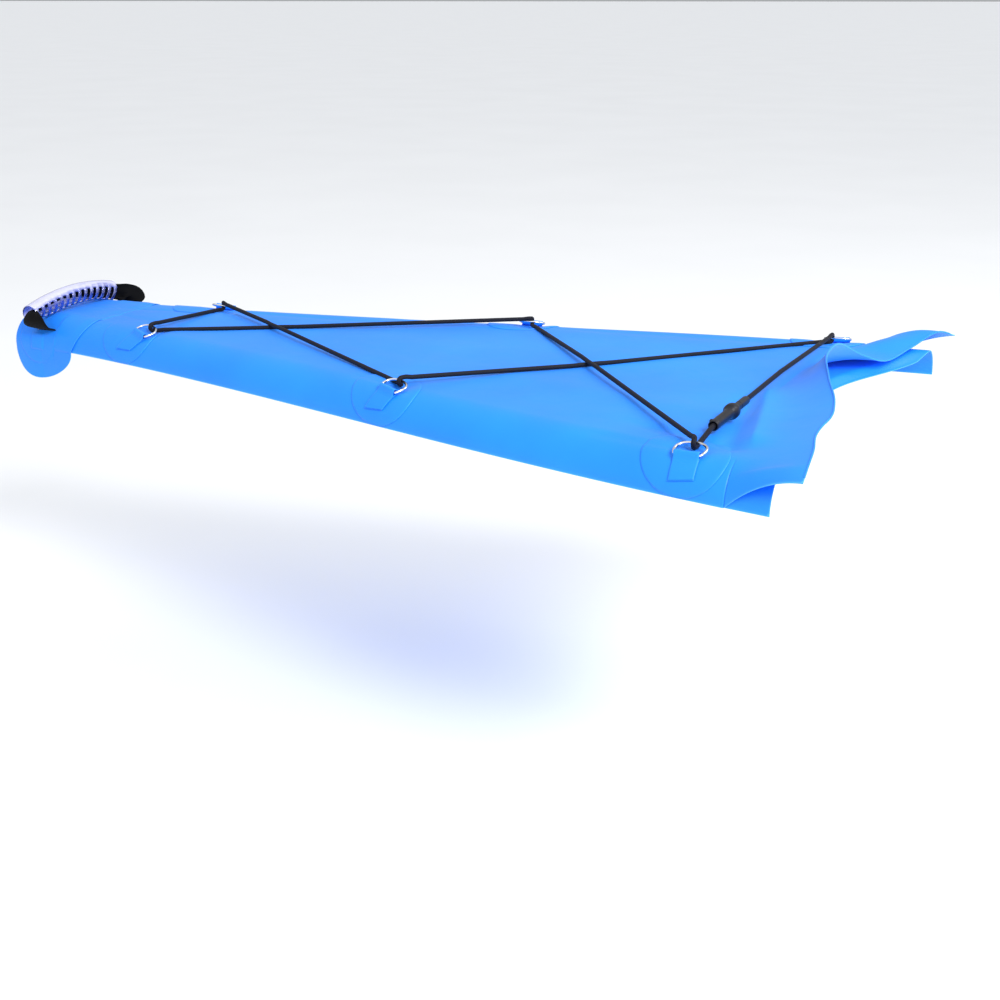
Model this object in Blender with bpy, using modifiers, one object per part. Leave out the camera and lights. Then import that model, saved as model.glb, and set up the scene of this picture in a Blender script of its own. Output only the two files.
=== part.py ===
"""Glued-on bow spray deck of an inflatable kayak.

Frame: metres, +X aft, +Y starboard, +Z up. The origin lies midway between the two rear D-rings, on the
plane that the cord is laced in. The deck is a sheet laid over two inflated side tubes; the tubes
themselves belong to the hull and are not part of this object.
"""
import math

import bmesh
import bpy
from mathutils import Matrix, Vector

# ---- driving dimensions (metres) ----
BAND_START_X = -1.145   # front end of the gunwale bands, under the bow cap
CAP_AFT_X = -1.120      # aft edge of the bow cap at the tube's widest line
BOW_X = -1.120          # station where the bow half-breadth is given
AFT_X = 0.150           # station where the aft half-breadth is given
BOW_HALF = 0.060        # half-breadth of the tube crowns at BOW_X
AFT_HALF = 0.308        # half-breadth of the tube crowns at AFT_X
BOW_SLOPE = 0.13        # widening per metre at BOW_X
AFT_SLOPE = 0.10        # widening per metre at AFT_X
TUBE_R = 0.048          # radius of the deck's outer face round the tube's shoulder
BOW_CROWN_Z = -0.0115   # crown height at BOW_X
AFT_CROWN_Z = -0.0035   # crown height at AFT_X
FABRIC = 0.0012         # coated fabric thickness
LAYER_GAP = 0.0006      # gap kept between glued layers
BUTT_GAP = 0.0004       # gap kept between pieces that meet edge to edge
FOLD_GAP = 0.0016       # gap where the flap turns up from the bands

NOSE_X = -1.190         # where the nose's round plan begins
NOSE_LENGTH = 0.160     # how far the nose reaches ahead of NOSE_X
EAR_HALF_LENGTH = 0.067  # half-length of the cap's side ears
EAR_DROP = 0.051        # how far the ears' round edge hangs below the widest line

# bow, middle and rear D-ring pairs: station of the bar, its skew, and how far forward the patch sits
RING_PAIRS = {
    "bow": (-0.973, math.radians(16), 0.027),
    "middle": (-0.456, math.radians(11), 0.010),
    "rear": (-0.003, math.radians(-5), 0.005),
}
# the strap tabs are cut askew: the skew of each one's glued end, and how far forward that end sits
TAB_ENDS = {
    "bow": (math.radians(-2), 0.016),
    "middle": (math.radians(-5), 0.009),
    "rear": (math.radians(-11), 0.002),
}
REAR_STARBOARD_SHIFT = 0.014    # this ring is glued on further aft than its port one
PATCH_SHIFT = 0.0055            # and its patch too, as far as the flap leaves room
REAR_STARBOARD_HOLD = 0.007     # and the cord pulls at its ring this far ahead of the middle
PATCH_R = 0.055
PATCH_THICK = 0.0009
PATCH_GIRTH = 0.020     # girth from crown to the patch centre
BAR_GIRTH = 0.0243      # girth from crown to the D-ring's bar
TAB_END_GIRTH = 0.055   # girth at the lower end of the strap tab
TAB_WIDTH = 0.032
RING_WIRE_R = 0.0018
RING_HALF_WIDTH = 0.0195
RING_BAR_HALF = 0.0168  # straight part of the bar
RING_DEPTH = 0.0240
RING_CLEAR = 0.0003
RING_TILT = math.radians(2)   # the ring's slope from the face that its tab is glued to

CORD_R = 0.0032
SLOT_HALF = 0.024       # half-length of the handle slots
WEBBING = 0.0024        # thickness of the handle webbing
GRIP_R = 0.0158
GRIP_WALL = 0.0030
GRIP_PORT_Y = -0.111    # ends of the grip, which is worn in off centre
GRIP_STARBOARD_Y = 0.080
HANDLE_X = -1.198       # athwartships line of the grip
SLOT_X = -1.184
SLOT_ANGLE = math.radians(54)

FLAP_SIDE_X = 0.053     # where the flap comes free on the shoulders
FLAP_MID_X = 0.012      # where it comes free between the tubes
UNDERLAY_FORE_X = -0.020
UNDERLAY_PORT_X = 0.107      # aft end of the underlay on each shoulder
UNDERLAY_STARBOARD_X = 0.146
UNDERLAY_MID_X = 0.050
UNDERLAY_SAG = 0.018

SOCKET_R = 0.0066
COLLAR_R = 0.0102
PLUG_R = 0.0056
CONNECTOR_LENGTH = 0.127
CONNECTOR_Y = -0.234    # athwartships place of the socket's open mouth
CONNECTOR_RISE = 0.0112  # height of the connector's axis over the deck
KNOT_DEPTH = 0.022      # depth of the cord's end knots inside the connector
KNOT_HALF = 0.0045
PORT = -1
STARBOARD = 1

for old in list(bpy.data.objects):
    bpy.data.objects.remove(old, do_unlink=True)

parts = bpy.data.collections.new("kayak_spray_deck")
cutters = bpy.data.collections.new("cutters")
bpy.context.scene.collection.children.link(parts)
bpy.context.scene.collection.children.link(cutters)


# ---- materials ----
def material(name, colour, roughness, metallic=0.0, transmission=0.0):
    made = bpy.data.materials.new(name)
    made.use_nodes = True
    shader = made.node_tree.nodes["Principled BSDF"]
    shader.inputs["Base Color"].default_value = (*colour, 1.0)
    shader.inputs["Roughness"].default_value = roughness
    shader.inputs["Metallic"].default_value = metallic
    shader.inputs["Transmission Weight"].default_value = transmission
    return made


BLUE = material("pvc_blue", (0.035, 0.26, 0.86), 0.42)
STEEL = material("stainless", (0.80, 0.81, 0.83), 0.14, metallic=1.0)
BLACK_CORD = material("cord_black", (0.012, 0.012, 0.02), 0.6)
BLACK_WEB = material("webbing_black", (0.010, 0.010, 0.012), 0.75)
BLACK_PLASTIC = material("connector_black", (0.015, 0.015, 0.018), 0.38)
CLEAR = material("vinyl_clear", (0.80, 0.80, 0.95), 0.12, transmission=0.8)


# ---- the tube's shape ----
def half_breadth(x):
    """Distance of the tube's crown from the centreline: a cubic with given ends and slopes."""
    span = AFT_X - BOW_X
    t = (x - BOW_X) / span
    if t < 0:
        return BOW_HALF + BOW_SLOPE * (x - BOW_X)
    ends = BOW_HALF * (1 + 2 * t) * (1 - t) ** 2 + AFT_HALF * t * t * (3 - 2 * t)
    return ends + span * (BOW_SLOPE * t * (1 - t) ** 2 - AFT_SLOPE * t * t * (1 - t))


def breadth_slope(x):
    step = 0.001
    return (half_breadth(x + step) - half_breadth(x - step)) / (2 * step)


def crown_z(x):
    return BOW_CROWN_Z + (AFT_CROWN_Z - BOW_CROWN_Z) * (x - BOW_X) / (AFT_X - BOW_X)


def on_tube(side, x, girth, height=0.0):
    """Point on the deck's outer face at a girth from the crown (inboard is negative), raised by height."""
    b = half_breadth(x)
    if girth <= 0:
        return Vector((x, side * (b + girth), crown_z(x) + height))
    angle = girth / TUBE_R
    reach = TUBE_R + height
    z = crown_z(x) - TUBE_R + reach * math.cos(angle)
    return Vector((x, side * (b + reach * math.sin(angle)), z))


SHOULDER = TUBE_R * math.pi / 2     # girth from crown to the tube's widest line


GIRTH_STEP = SHOULDER / 8           # spacing of the facets round the shoulder


def spread(start, end, count):
    return [start + (end - start) * i / count for i in range(count + 1)]


# ---- builders ----
def add(name, data, look, place=None):
    piece = bpy.data.objects.new(name, data)
    data.materials.append(look)
    if place is not None:
        piece.matrix_world = place
    parts.objects.link(piece)
    return piece


def grid_mesh(name, rows):
    """A four-sided mesh over rows of points, facing up."""
    bm = bmesh.new()
    grid = [[bm.verts.new(p) for p in row] for row in rows]
    for low, high in zip(grid, grid[1:]):
        for i in range(len(low) - 1):
            bm.faces.new((low[i], low[i + 1], high[i + 1], high[i]))
    bm.normal_update()
    if sum(face.normal.z * face.calc_area() for face in bm.faces) < 0:
        bmesh.ops.reverse_faces(bm, faces=bm.faces)
    mesh = bpy.data.meshes.new(name)
    bm.to_mesh(mesh)
    bm.free()
    mesh.shade_smooth()
    mesh.set_sharp_from_angle(angle=math.radians(35))
    return mesh


def thicken(piece, thickness):
    """Thickness outwards from the face that was drawn."""
    solid = piece.modifiers.new("Thickness", "SOLIDIFY")
    solid.thickness = thickness
    solid.offset = 1.0
    solid.use_even_offset = True
    return piece


def sheet(name, rows, look, thickness=FABRIC, origin=None):
    """A fabric sheet over rows of points, with its origin moved to a joint's axis if one is given."""
    place = None
    if origin is not None:
        rows = [[point - Vector(origin) for point in row] for row in rows]
        place = Matrix.Translation(origin)
    return thicken(add(name, grid_mesh(name, rows), look, place), thickness)


def round_patch(name, look, radius, lines, at, thickness=FABRIC):
    """A round patch: lines are the girths that it is drawn along, at(along, girth) its points. The lines
    match the facets of the sheet below, so the gap between the two stays even."""
    middle = (lines[0] + lines[-1]) / 2
    rows = []
    for girth in lines:
        half = math.sqrt(max(radius ** 2 - (girth - middle) ** 2, (0.22 * radius) ** 2))
        rows.append([at(along, girth) for along in spread(-half, half, 6)])
    return sheet(name, rows, look, thickness)


def wire(name, points, radius, look, closed=False, place=None, resolution=2):
    """A round wire or cord along points."""
    curve = bpy.data.curves.new(name, "CURVE")
    curve.dimensions = "3D"
    curve.bevel_depth = radius
    curve.bevel_resolution = resolution
    curve.use_fill_caps = not closed
    spline = curve.splines.new("POLY")
    spline.points.add(len(points) - 1)
    for knot, point in zip(spline.points, points):
        knot.co = (*point, 1.0)
    spline.use_cyclic_u = closed
    return add(name, curve, look, place)


def lofted(name, sections, look, place=None):
    """A solid lofted through closed sections with the same number of corners."""
    bm = bmesh.new()
    rings = [[bm.verts.new(corner) for corner in section] for section in sections]
    count = len(rings[0])
    for low, high in zip(rings, rings[1:]):
        for i in range(count):
            j = (i + 1) % count
            bm.faces.new((low[i], low[j], high[j], high[i]))
    bm.faces.new(rings[0][::-1])
    bm.faces.new(rings[-1])
    bmesh.ops.recalc_face_normals(bm, faces=bm.faces)
    mesh = bpy.data.meshes.new(name)
    bm.to_mesh(mesh)
    bm.free()
    return add(name, mesh, look, place)


def turned(name, profile, look, place, steps=20):
    """A turned piece: profile is (distance along the axis, radius), out along the outer side and back
    down the bore if it has one. The axis is local Z."""
    bm = bmesh.new()
    verts = [bm.verts.new((radius, 0.0, along)) for along, radius in profile]
    for a, b in zip(verts, verts[1:]):
        bm.edges.new((a, b))
    mesh = bpy.data.meshes.new(name)
    bm.to_mesh(mesh)
    bm.free()
    piece = add(name, mesh, look, place)
    screw = piece.modifiers.new("Turn", "SCREW")
    screw.axis = "Z"
    screw.steps = steps
    screw.render_steps = steps
    screw.use_merge_vertices = True
    screw.merge_threshold = 0.00001
    return piece


def smooth_route(points, spacing):
    """Points about a spacing apart on a smooth curve through the route's own points. Slopes are weighted by
    the lengths on either side, so uneven spacing leaves no bulges."""
    slopes = [(points[1] - points[0]).normalized()]
    for before, here, after in zip(points, points[1:], points[2:]):
        back = (here - before).length
        ahead = (after - here).length
        slope = (here - before) * (ahead / back) + (after - here) * (back / ahead)
        slopes.append(slope / (back + ahead))
    slopes.append((points[-1] - points[-2]).normalized())
    route = []
    for here, after, leaving, arriving in zip(points, points[1:], slopes, slopes[1:]):
        length = (after - here).length
        count = max(1, round(length / spacing))
        for i in range(count):
            t = i / count
            place = here * (1 + 2 * t) * (1 - t) ** 2 + after * t * t * (3 - 2 * t)
            route.append(place + (leaving * (1 - t) - arriving * t) * (length * t * (1 - t)))
    route.append(points[-1])
    return route


# ---- deck panel and gunwale bands ----
def free_edge_x(share):
    """Station where the sheet comes free, by its place between centreline (0) and tube crown (1)."""
    return FLAP_MID_X + (FLAP_SIDE_X - FLAP_MID_X) * share ** 4


def gunwale_band(name, side):
    """Half-round strip from the tube's crown down to its widest line."""
    rows = []
    for x in spread(BAND_START_X, FLAP_SIDE_X - FOLD_GAP, 20):
        rows.append([on_tube(side, x, g, -FABRIC) for g in spread(0.0, SHOULDER, 8)])
    return sheet(name, rows, BLUE)


def deck_panel():
    """Flat sheet between the tube crowns. Its aft edge is cut forward between the tubes."""
    rows = []
    for t in spread(0.0, 1.0, 20):
        row = []
        for share in spread(-1.0, 1.0, 28):
            x = BAND_START_X + (free_edge_x(abs(share)) - FOLD_GAP - BAND_START_X) * t
            y = share * (half_breadth(x) - BUTT_GAP)
            row.append(Vector((x, y, crown_z(x) - FABRIC)))
        rows.append(row)
    return sheet("deck_panel", rows, BLUE)


gunwale_band("gunwale_band_port", PORT)
gunwale_band("gunwale_band_starboard", STARBOARD)
deck_panel()

# ---- rear flap: the free aft end of the sheet, with a wavy hemmed edge ----
HINGE_AT = Vector((FLAP_MID_X, 0.0, crown_z(FLAP_MID_X)))
RIM = [
    Vector((0.147, -0.372, 0.001)),
    Vector((0.144, -0.345, 0.008)),
    Vector((0.136, -0.290, 0.013)),
    Vector((0.124, -0.235, 0.014)),
    Vector((0.122, -0.205, 0.015)),
    Vector((0.124, -0.170, 0.018)),
    Vector((0.115, -0.120, 0.021)),
    Vector((0.081, -0.020, 0.028)),
    Vector((0.056, 0.070, 0.036)),
    Vector((0.057, 0.120, 0.037)),
    Vector((0.079, 0.185, 0.008)),
    Vector((0.101, 0.235, -0.008)),
    Vector((0.124, 0.290, 0.002)),
    Vector((0.153, 0.340, 0.018)),
    Vector((0.170, 0.370, 0.008)),
]
RIM_CURVE = smooth_route(RIM, 0.004)


def rim_point(share):
    place = share * (len(RIM_CURVE) - 1)
    low = min(int(place), len(RIM_CURVE) - 2)
    return RIM_CURVE[low].lerp(RIM_CURVE[low + 1], place - low)


CROWN_HALF = half_breadth(FLAP_SIDE_X)
ACROSS = [-CROWN_HALF - g for g in spread(SHOULDER, GIRTH_STEP, 7)]
ACROSS += [share * CROWN_HALF for share in spread(-1.0, 1.0, 28)]
ACROSS += [CROWN_HALF + g for g in spread(GIRTH_STEP, SHOULDER, 7)]


def lead_point(across):
    """Point on the line where the flap leaves the deck; across is the girth from the centreline."""
    side = PORT if across < 0 else STARBOARD
    if abs(across) > CROWN_HALF:
        return on_tube(side, FLAP_SIDE_X, abs(across) - CROWN_HALF, -FABRIC)
    x = free_edge_x(abs(across) / CROWN_HALF)
    return Vector((x, across * half_breadth(x) / CROWN_HALF, crown_z(x) - FABRIC))


def flap_base(out, across):
    """Point on the flap's lower face: out runs from the lead line (0) to the rim (1)."""
    lead = lead_point(across)
    rim = rim_point((across / (CROWN_HALF + SHOULDER) + 1) / 2) - Vector((0.0, 0.0, FABRIC))
    drop = min(1.0, (crown_z(FLAP_SIDE_X) - FABRIC - lead.z) / TUBE_R * 2.5)
    bend = lead.lerp(rim, 0.45)
    bend.z = lead.z + (rim.z - lead.z) * (0.12 + 0.75 * max(0.0, drop))
    return lead.lerp(bend, out).lerp(bend.lerp(rim, out), out)


def flap_point(out, across, height):
    """Point at a height over the flap's lower face, square to it."""
    step = 0.01
    along = flap_base(out + step, across) - flap_base(out - step, across)
    sideways = flap_base(out, across + step) - flap_base(out, across - step)
    return flap_base(out, across) + along.cross(sideways).normalized() * height


def rear_flap():
    rows = [[flap_base(out, across) for across in ACROSS] for out in spread(0.0, 1.0, 7)]
    return sheet("rear_flap", rows, BLUE, origin=HINGE_AT)


HEM_INSET = 5           # facets left free of the hem at each end


def rear_hem():
    """Reinforcing strip welded along the top of the flap's edge."""
    rise = FABRIC + LAYER_GAP
    rows = []
    for out in spread(6 / 7, 0.995, 1):
        rows.append([flap_point(out, across, rise) for across in ACROSS[HEM_INSET:-HEM_INSET]])
    return sheet("rear_hem", rows, BLUE, origin=HINGE_AT)


rear_flap()
rear_hem()


# ---- underlay: second sheet under the deck's aft end, glued over both shoulders ----
def rear_underlay():
    drop = -2 * FABRIC - LAYER_GAP
    rows = []
    for t in spread(0.0, 1.0, 6):
        row = []
        for across in ACROSS:
            side = PORT if across < 0 else STARBOARD
            inner = min(1.0, abs(across) / CROWN_HALF)
            reach = UNDERLAY_PORT_X if side == PORT else UNDERLAY_STARBOARD_X
            aft = UNDERLAY_MID_X + (reach - UNDERLAY_MID_X) * inner ** 3
            x = UNDERLAY_FORE_X + (aft - UNDERLAY_FORE_X) * t
            if inner == 1.0:
                row.append(on_tube(side, x, abs(across) - CROWN_HALF, drop))
            else:
                sag = UNDERLAY_SAG * (0.7 + 0.3 * inner ** 2) * (1 - inner ** 8) * t
                y = across * half_breadth(x) / CROWN_HALF
                row.append(Vector((x, y, crown_z(x) + drop - sag)))
        rows.append(row)
    return sheet("rear_underlay", rows, BLUE)


rear_underlay()


# ---- bow cap and its ears, wrapped round the nose ----
def nose_frame(along):
    """Crown point and outward direction of the nose in plan. along is measured round the widest line,
    aft of NOSE_X positive."""
    if along >= 0:
        x = NOSE_X + along
        return Vector((x, half_breadth(x), 0.0)), Vector((0.0, 1.0, 0.0))
    wide = half_breadth(NOSE_X) + TUBE_R
    angle = 0.0
    walked = 0.0
    step = 0.002
    while walked < -along:
        angle += step
        walked += step * math.hypot(NOSE_LENGTH * math.cos(angle), wide * math.sin(angle))
    wall = Vector((NOSE_X - NOSE_LENGTH * math.sin(angle), wide * math.cos(angle), 0.0))
    out = Vector((-math.sin(angle) / NOSE_LENGTH, math.cos(angle) / wide, 0.0)).normalized()
    return wall - out * TUBE_R, out


def on_nose(side, along, girth, height):
    """Point on the nose at a girth down from the crown, raised by height."""
    crown, out = nose_frame(along)
    if girth <= SHOULDER:
        angle = girth / TUBE_R
        reach = (TUBE_R + height) * math.sin(angle)
        rise = (TUBE_R + height) * math.cos(angle) - TUBE_R
    else:
        reach = TUBE_R + height
        rise = -TUBE_R - (girth - SHOULDER)
    point = crown + out * reach
    return Vector((point.x, side * point.y, crown_z(point.x) + rise))


EAR_MIDDLE = CAP_AFT_X - NOSE_X - EAR_HALF_LENGTH
EAR_SKEW = 0.28         # how far the ears' lowest point is drawn forward
AFT_LEAN = 0.028        # the cap's aft edge leans aft from the widest line up to the crown


def cap_half(side, height):
    """Rows of points from the centreline out to the ear's edge, from the aft seam to the front."""
    rows = []
    for turn in spread(0.0, math.pi, 16):
        along = EAR_MIDDLE + EAR_HALF_LENGTH * math.cos(turn)
        drop = 0.0006 + EAR_DROP * math.sin(turn - EAR_SKEW * math.sin(turn))
        lean = AFT_LEAN * max(0.0, math.cos(turn)) ** 6
        crown, out = nose_frame(along + lean)
        row = []
        for share in spread(0.0, 1.0, 4)[:-1]:
            row.append(Vector((crown.x, side * crown.y * share, crown_z(crown.x) + height)))
        for girth in spread(0.0, SHOULDER, 8):
            row.append(on_nose(side, along + lean * math.cos(girth / TUBE_R), girth, height))
        for share in spread(0.0, 1.0, 3)[1:]:
            row.append(on_nose(side, along, SHOULDER + drop * share, height))
        rows.append(row)
    return rows


def bow_cap():
    rows = []
    height = LAYER_GAP
    for port, starboard in zip(cap_half(PORT, height), cap_half(STARBOARD, height)):
        rows.append(port[::-1] + starboard[1:])
    cap = sheet("bow_cap", rows, BLUE)
    for side in (PORT, STARBOARD):
        bm = bmesh.new()
        bmesh.ops.create_cube(bm, size=1.0)
        mesh = bpy.data.meshes.new("slot_cutter")
        bmesh.ops.scale(bm, vec=(2 * SLOT_HALF + 0.002, 0.0060, 0.016), verts=bm.verts)
        bm.to_mesh(mesh)
        bm.free()
        cutter = bpy.data.objects.new("slot_cutter", mesh)
        point = on_nose(side, SLOT_X - NOSE_X, SLOT_ANGLE * TUBE_R, 0.0)
        cutter.matrix_world = Matrix.Translation(point) @ Matrix.Rotation(-side * SLOT_ANGLE, 4, "X")
        cutter.hide_render = True
        cutter.display_type = "WIRE"
        cutters.objects.link(cutter)
        cut = cap.modifiers.new("Slot", "BOOLEAN")
        cut.operation = "DIFFERENCE"
        cut.solver = "EXACT"
        cut.object = cutter
    return cap


bow_cap()

for label, side in (("port", PORT), ("starboard", STARBOARD)):
    round_patch(f"handle_patch_{label}", BLUE, 0.027, spread(0.061, 0.115, 5),
                lambda along, girth, side=side: on_nose(side, SLOT_X - NOSE_X + along, girth, -FABRIC),
                thickness=FABRIC - LAYER_GAP)


# ---- D-rings with their patches and strap tabs ----
STRAP_LOW = LAYER_GAP * 2 + FABRIC * 1.5        # height of the strap's lower layer over the deck's face
BAR_LIFT = LAYER_GAP * 2 + 2 * FABRIC + 2 * RING_CLEAR + RING_WIRE_R


def ring_station(side, pair):
    """Station of the ring's bar, its skew, and how far forward its patch sits."""
    x, skew, patch_forward = RING_PAIRS[pair]
    if (side, pair) == (STARBOARD, "rear"):
        x += REAR_STARBOARD_SHIFT
        patch_forward += REAR_STARBOARD_SHIFT - PATCH_SHIFT
    return x, skew, patch_forward


def ring_frame(side, pair):
    """Places the D-ring's bar: local X along the bar, local Y inboard, local Z out of the tube."""
    x, skew, patch_forward = ring_station(side, pair)
    angle = BAR_GIRTH / TUBE_R
    hull = Vector((1.0, side * breadth_slope(x), 0.0)).normalized()
    out = Vector((0.0, side * math.sin(angle), math.cos(angle)))
    out = (out - hull * out.dot(hull)).normalized()
    down = out.cross(hull) * side
    along = hull * math.cos(skew) + down * math.sin(skew)
    inboard = hull * math.sin(skew) - down * math.cos(skew)
    axes = Matrix((along * -side, inboard, out)).transposed().to_4x4()
    return Matrix.Translation(on_tube(side, x, BAR_GIRTH, BAR_LIFT)) @ axes


def strap_path():
    """Middle line of the folded strap, as (inboard of the bar, height over the deck's face)."""
    tail = TAB_END_GIRTH - BAR_GIRTH
    loop_r = BAR_LIFT - STRAP_LOW
    path = [(-v, STRAP_LOW) for v in spread(tail, 0.0, 6)]
    for turn in spread(0.0, math.radians(195), 9)[1:]:
        path.append((loop_r * math.sin(turn), BAR_LIFT - loop_r * math.cos(turn)))
    path += [(-v, STRAP_LOW + FABRIC + RING_CLEAR) for v in spread(0.0075, tail, 5)]
    return path


def strap_sections(side, pair, frame):
    """Sections of the folded strap: it lies on the tube up to the bar and is straight round the bar."""
    x, skew, patch_forward = ring_station(side, pair)
    end_skew, end_forward = TAB_ENDS[pair]
    per_metre = 1 / math.hypot(1.0, breadth_slope(x))

    def at(width, inboard, height):
        if inboard > -0.003:
            return frame @ Vector((-side * width, inboard, height - BAR_LIFT))
        share = -inboard / (TAB_END_GIRTH - BAR_GIRTH)
        turn = skew + (end_skew - skew) * share
        along = width * math.cos(turn) + inboard * math.sin(skew) - end_forward * share
        girth = BAR_GIRTH + width * math.sin(turn) - inboard * math.cos(skew)
        return on_tube(side, x + along * per_metre, girth, height)

    path = strap_path()
    sections = []
    for i, (inboard, height) in enumerate(path):
        before = Vector(path[max(i - 1, 0)])
        ahead = (Vector(path[min(i + 1, len(path) - 1)]) - before).normalized()
        across = Vector((-ahead.y, ahead.x)) * FABRIC / 2
        low = (inboard - across.x, height - across.y)
        high = (inboard + across.x, height + across.y)
        half = TAB_WIDTH / 2
        sections.append([at(half, *low), at(half, *high), at(-half, *high), at(-half, *low)])
    return sections


def ring_loop():
    """D outline: a straight bar along X and an oval bow towards Y, in the ring's own plane."""
    bar = [Vector((x, 0.0, 0.0)) for x in spread(-RING_BAR_HALF, RING_BAR_HALF, 3)]
    bow = []
    for a in spread(-22.0, 202.0, 16):
        turn = math.radians(a)
        x = RING_HALF_WIDTH * math.copysign(abs(math.cos(turn)) ** 0.8, math.cos(turn))
        y = RING_DEPTH * 0.45 + RING_DEPTH * 0.55 * math.sin(turn)
        if a < 0 or a > 180:
            y = RING_DEPTH * 0.45 * (1 + 1.9 * math.sin(turn))
        bow.append(Vector((x, y, 0.0)))
    return bar + bow


def dring_set(label, side, pair):
    x, skew, patch_forward = ring_station(side, pair)
    frame = ring_frame(side, pair)
    lines = [PATCH_GIRTH - PATCH_R, -0.014, *spread(0.0, GIRTH_STEP * 7, 7), PATCH_GIRTH + PATCH_R]
    round_patch(f"dring_patch_{label}", BLUE, PATCH_R, lines,
                lambda along, girth: on_tube(side, x - patch_forward + along, girth, LAYER_GAP),
                thickness=PATCH_THICK)
    lofted(f"dring_tab_{label}", strap_sections(side, pair, frame), BLUE)
    tilted = frame @ Matrix.Rotation(RING_TILT, 4, "X")
    wire(f"dring_{label}", ring_loop(), RING_WIRE_R, STEEL, closed=True, place=tilted)


for pair_name in RING_PAIRS:
    dring_set(f"{pair_name}_port", PORT, pair_name)
    dring_set(f"{pair_name}_starboard", STARBOARD, pair_name)


# ---- shock cord, laced through the rings and closed by the connector ----
def ring_bow(side, pair):
    """Place on the D-ring's bow where the cord turns round it."""
    hold = Vector((0.0, RING_DEPTH, 0.0))
    if (side, pair) == (STARBOARD, "rear"):
        hold = Vector((REAR_STARBOARD_HOLD, RING_DEPTH - 0.0005, 0.0))
    return ring_frame(side, pair) @ Matrix.Rotation(RING_TILT, 4, "X") @ hold


WRAP_R = RING_WIRE_R + CORD_R + RING_CLEAR + 0.0004     # from the bow's middle to the cord's middle


def turn_points(side, pair, before, after):
    """The cord comes in under the bow of the ring, turns outboard of it and leaves over it."""
    bow = ring_bow(side, pair)
    come = (before - bow).to_2d().normalized().to_3d()
    leave = (after - bow).to_2d().normalized().to_3d()
    inboard = ring_frame(side, pair).col[1].to_2d().normalized().to_3d()
    out = inboard * -WRAP_R
    up = Vector((0.0, 0.0, WRAP_R))
    run = 0.014
    bend = 0.72
    knots = [
        bow + come * run - up,
        bow + come * (run * 0.15) - up,
        bow + (out - up) * bend,
        bow + out,
        bow + (out + up) * bend,
        bow + leave * (run * 0.15) + up,
        bow + leave * run + up,
    ]
    return smooth_route(knots, 0.0022)


DECK_Z = crown_z(0.0)
MOUTH = Vector((0.0, CONNECTOR_Y, DECK_Z + CONNECTOR_RISE))
TAIL = MOUTH + Vector((0.0, CONNECTOR_LENGTH, 0.0))
LACING = [
    (PORT, "rear"),
    (STARBOARD, "middle"),
    (PORT, "bow"),
    (STARBOARD, "bow"),
    (PORT, "middle"),
    (STARBOARD, "rear"),
]
# stretches that cross, each named by the ring it leaves: the other stretch, and how far this one is lifted
CROSSINGS = {0: (4, 0.0034), 4: (0, -0.0034), 3: (1, 0.0034), 1: (3, -0.0034)}


def meeting(a, b, c, d):
    """How far along a-b the line c-d crosses it in plan."""
    r = (b - a).to_2d()
    s = (d - c).to_2d()
    return (c - a).to_2d().cross(s) / r.cross(s)


def cord_route():
    """Straight stretches between the turns; where two stretches cross, one lifts over the other."""
    bows = [ring_bow(side, pair) for side, pair in LACING]
    stops = [MOUTH, *bows, TAIL]
    turns = []
    for (side, pair), before, after in zip(LACING, stops, stops[2:]):
        turns.append(turn_points(side, pair, before, after))
    route = [MOUTH + Vector((0.0, KNOT_DEPTH + KNOT_HALF, 0.0)), MOUTH]
    for i, turn in enumerate(turns):
        route += turn
        if i in CROSSINGS:
            other, lift = CROSSINGS[i]
            share = meeting(bows[i], bows[i + 1], bows[other], bows[other + 1])
            other_share = meeting(bows[other], bows[other + 1], bows[i], bows[i + 1])
            start = turn[-1]
            end = turns[i + 1][0]
            level = start.z + (end.z - start.z) * share
            level += turns[other][-1].z + (turns[other + 1][0].z - turns[other][-1].z) * other_share
            length = (end - start).length
            for ahead in (-0.020, 0.0, 0.020):
                point = start.lerp(end, share + ahead / length)
                point.z = level / 2 + lift
                route.append(point)
    route += [TAIL, TAIL - Vector((0.0, KNOT_DEPTH + KNOT_HALF, 0.0))]
    return route


wire("shock_cord", cord_route(), CORD_R, BLACK_CORD)

ALONG_Y = Matrix.Rotation(math.radians(-90), 4, "X")
SOCKET_PLACE = Matrix.Translation(MOUTH) @ ALONG_Y
BORE_R = 0.0041         # the cord's way into either half, too narrow for the knots
STEM_R = 0.0042         # the plug's stem, pushed into the socket
turned("connector_socket", [
    (0.030, 0.0), (0.030, 0.0054), (0.012, 0.0054), (0.012, BORE_R), (0.0, BORE_R), (0.0, SOCKET_R),
    (0.058, SOCKET_R), (0.064, COLLAR_R), (0.074, COLLAR_R), (0.0755, 0.0088), (0.0755, 0.0046),
    (0.052, 0.0046), (0.052, 0.0),
][::-1], BLACK_PLASTIC, SOCKET_PLACE)
turned("connector_plug", [
    (0.0525, 0.0), (0.0525, STEM_R), (0.0760, STEM_R), (0.0760, 0.0084), (0.080, 0.0084),
    (0.083, PLUG_R), (CONNECTOR_LENGTH, PLUG_R), (CONNECTOR_LENGTH, BORE_R), (0.115, BORE_R),
    (0.115, 0.0049), (0.098, 0.0049), (0.098, 0.0),
][::-1], BLACK_PLASTIC, SOCKET_PLACE)
for half, depth in (("socket", KNOT_DEPTH), ("plug", CONNECTOR_LENGTH - KNOT_DEPTH)):
    turned(f"cord_knot_{half}", [
        (depth - KNOT_HALF, 0.0035), (depth - KNOT_HALF, 0.0039), (depth - 0.0015, 0.0046),
        (depth + 0.0015, 0.0046), (depth + KNOT_HALF, 0.0039), (depth + KNOT_HALF, 0.0035),
        (depth - KNOT_HALF, 0.0035),
    ][::-1], BLACK_CORD, SOCKET_PLACE)


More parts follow.
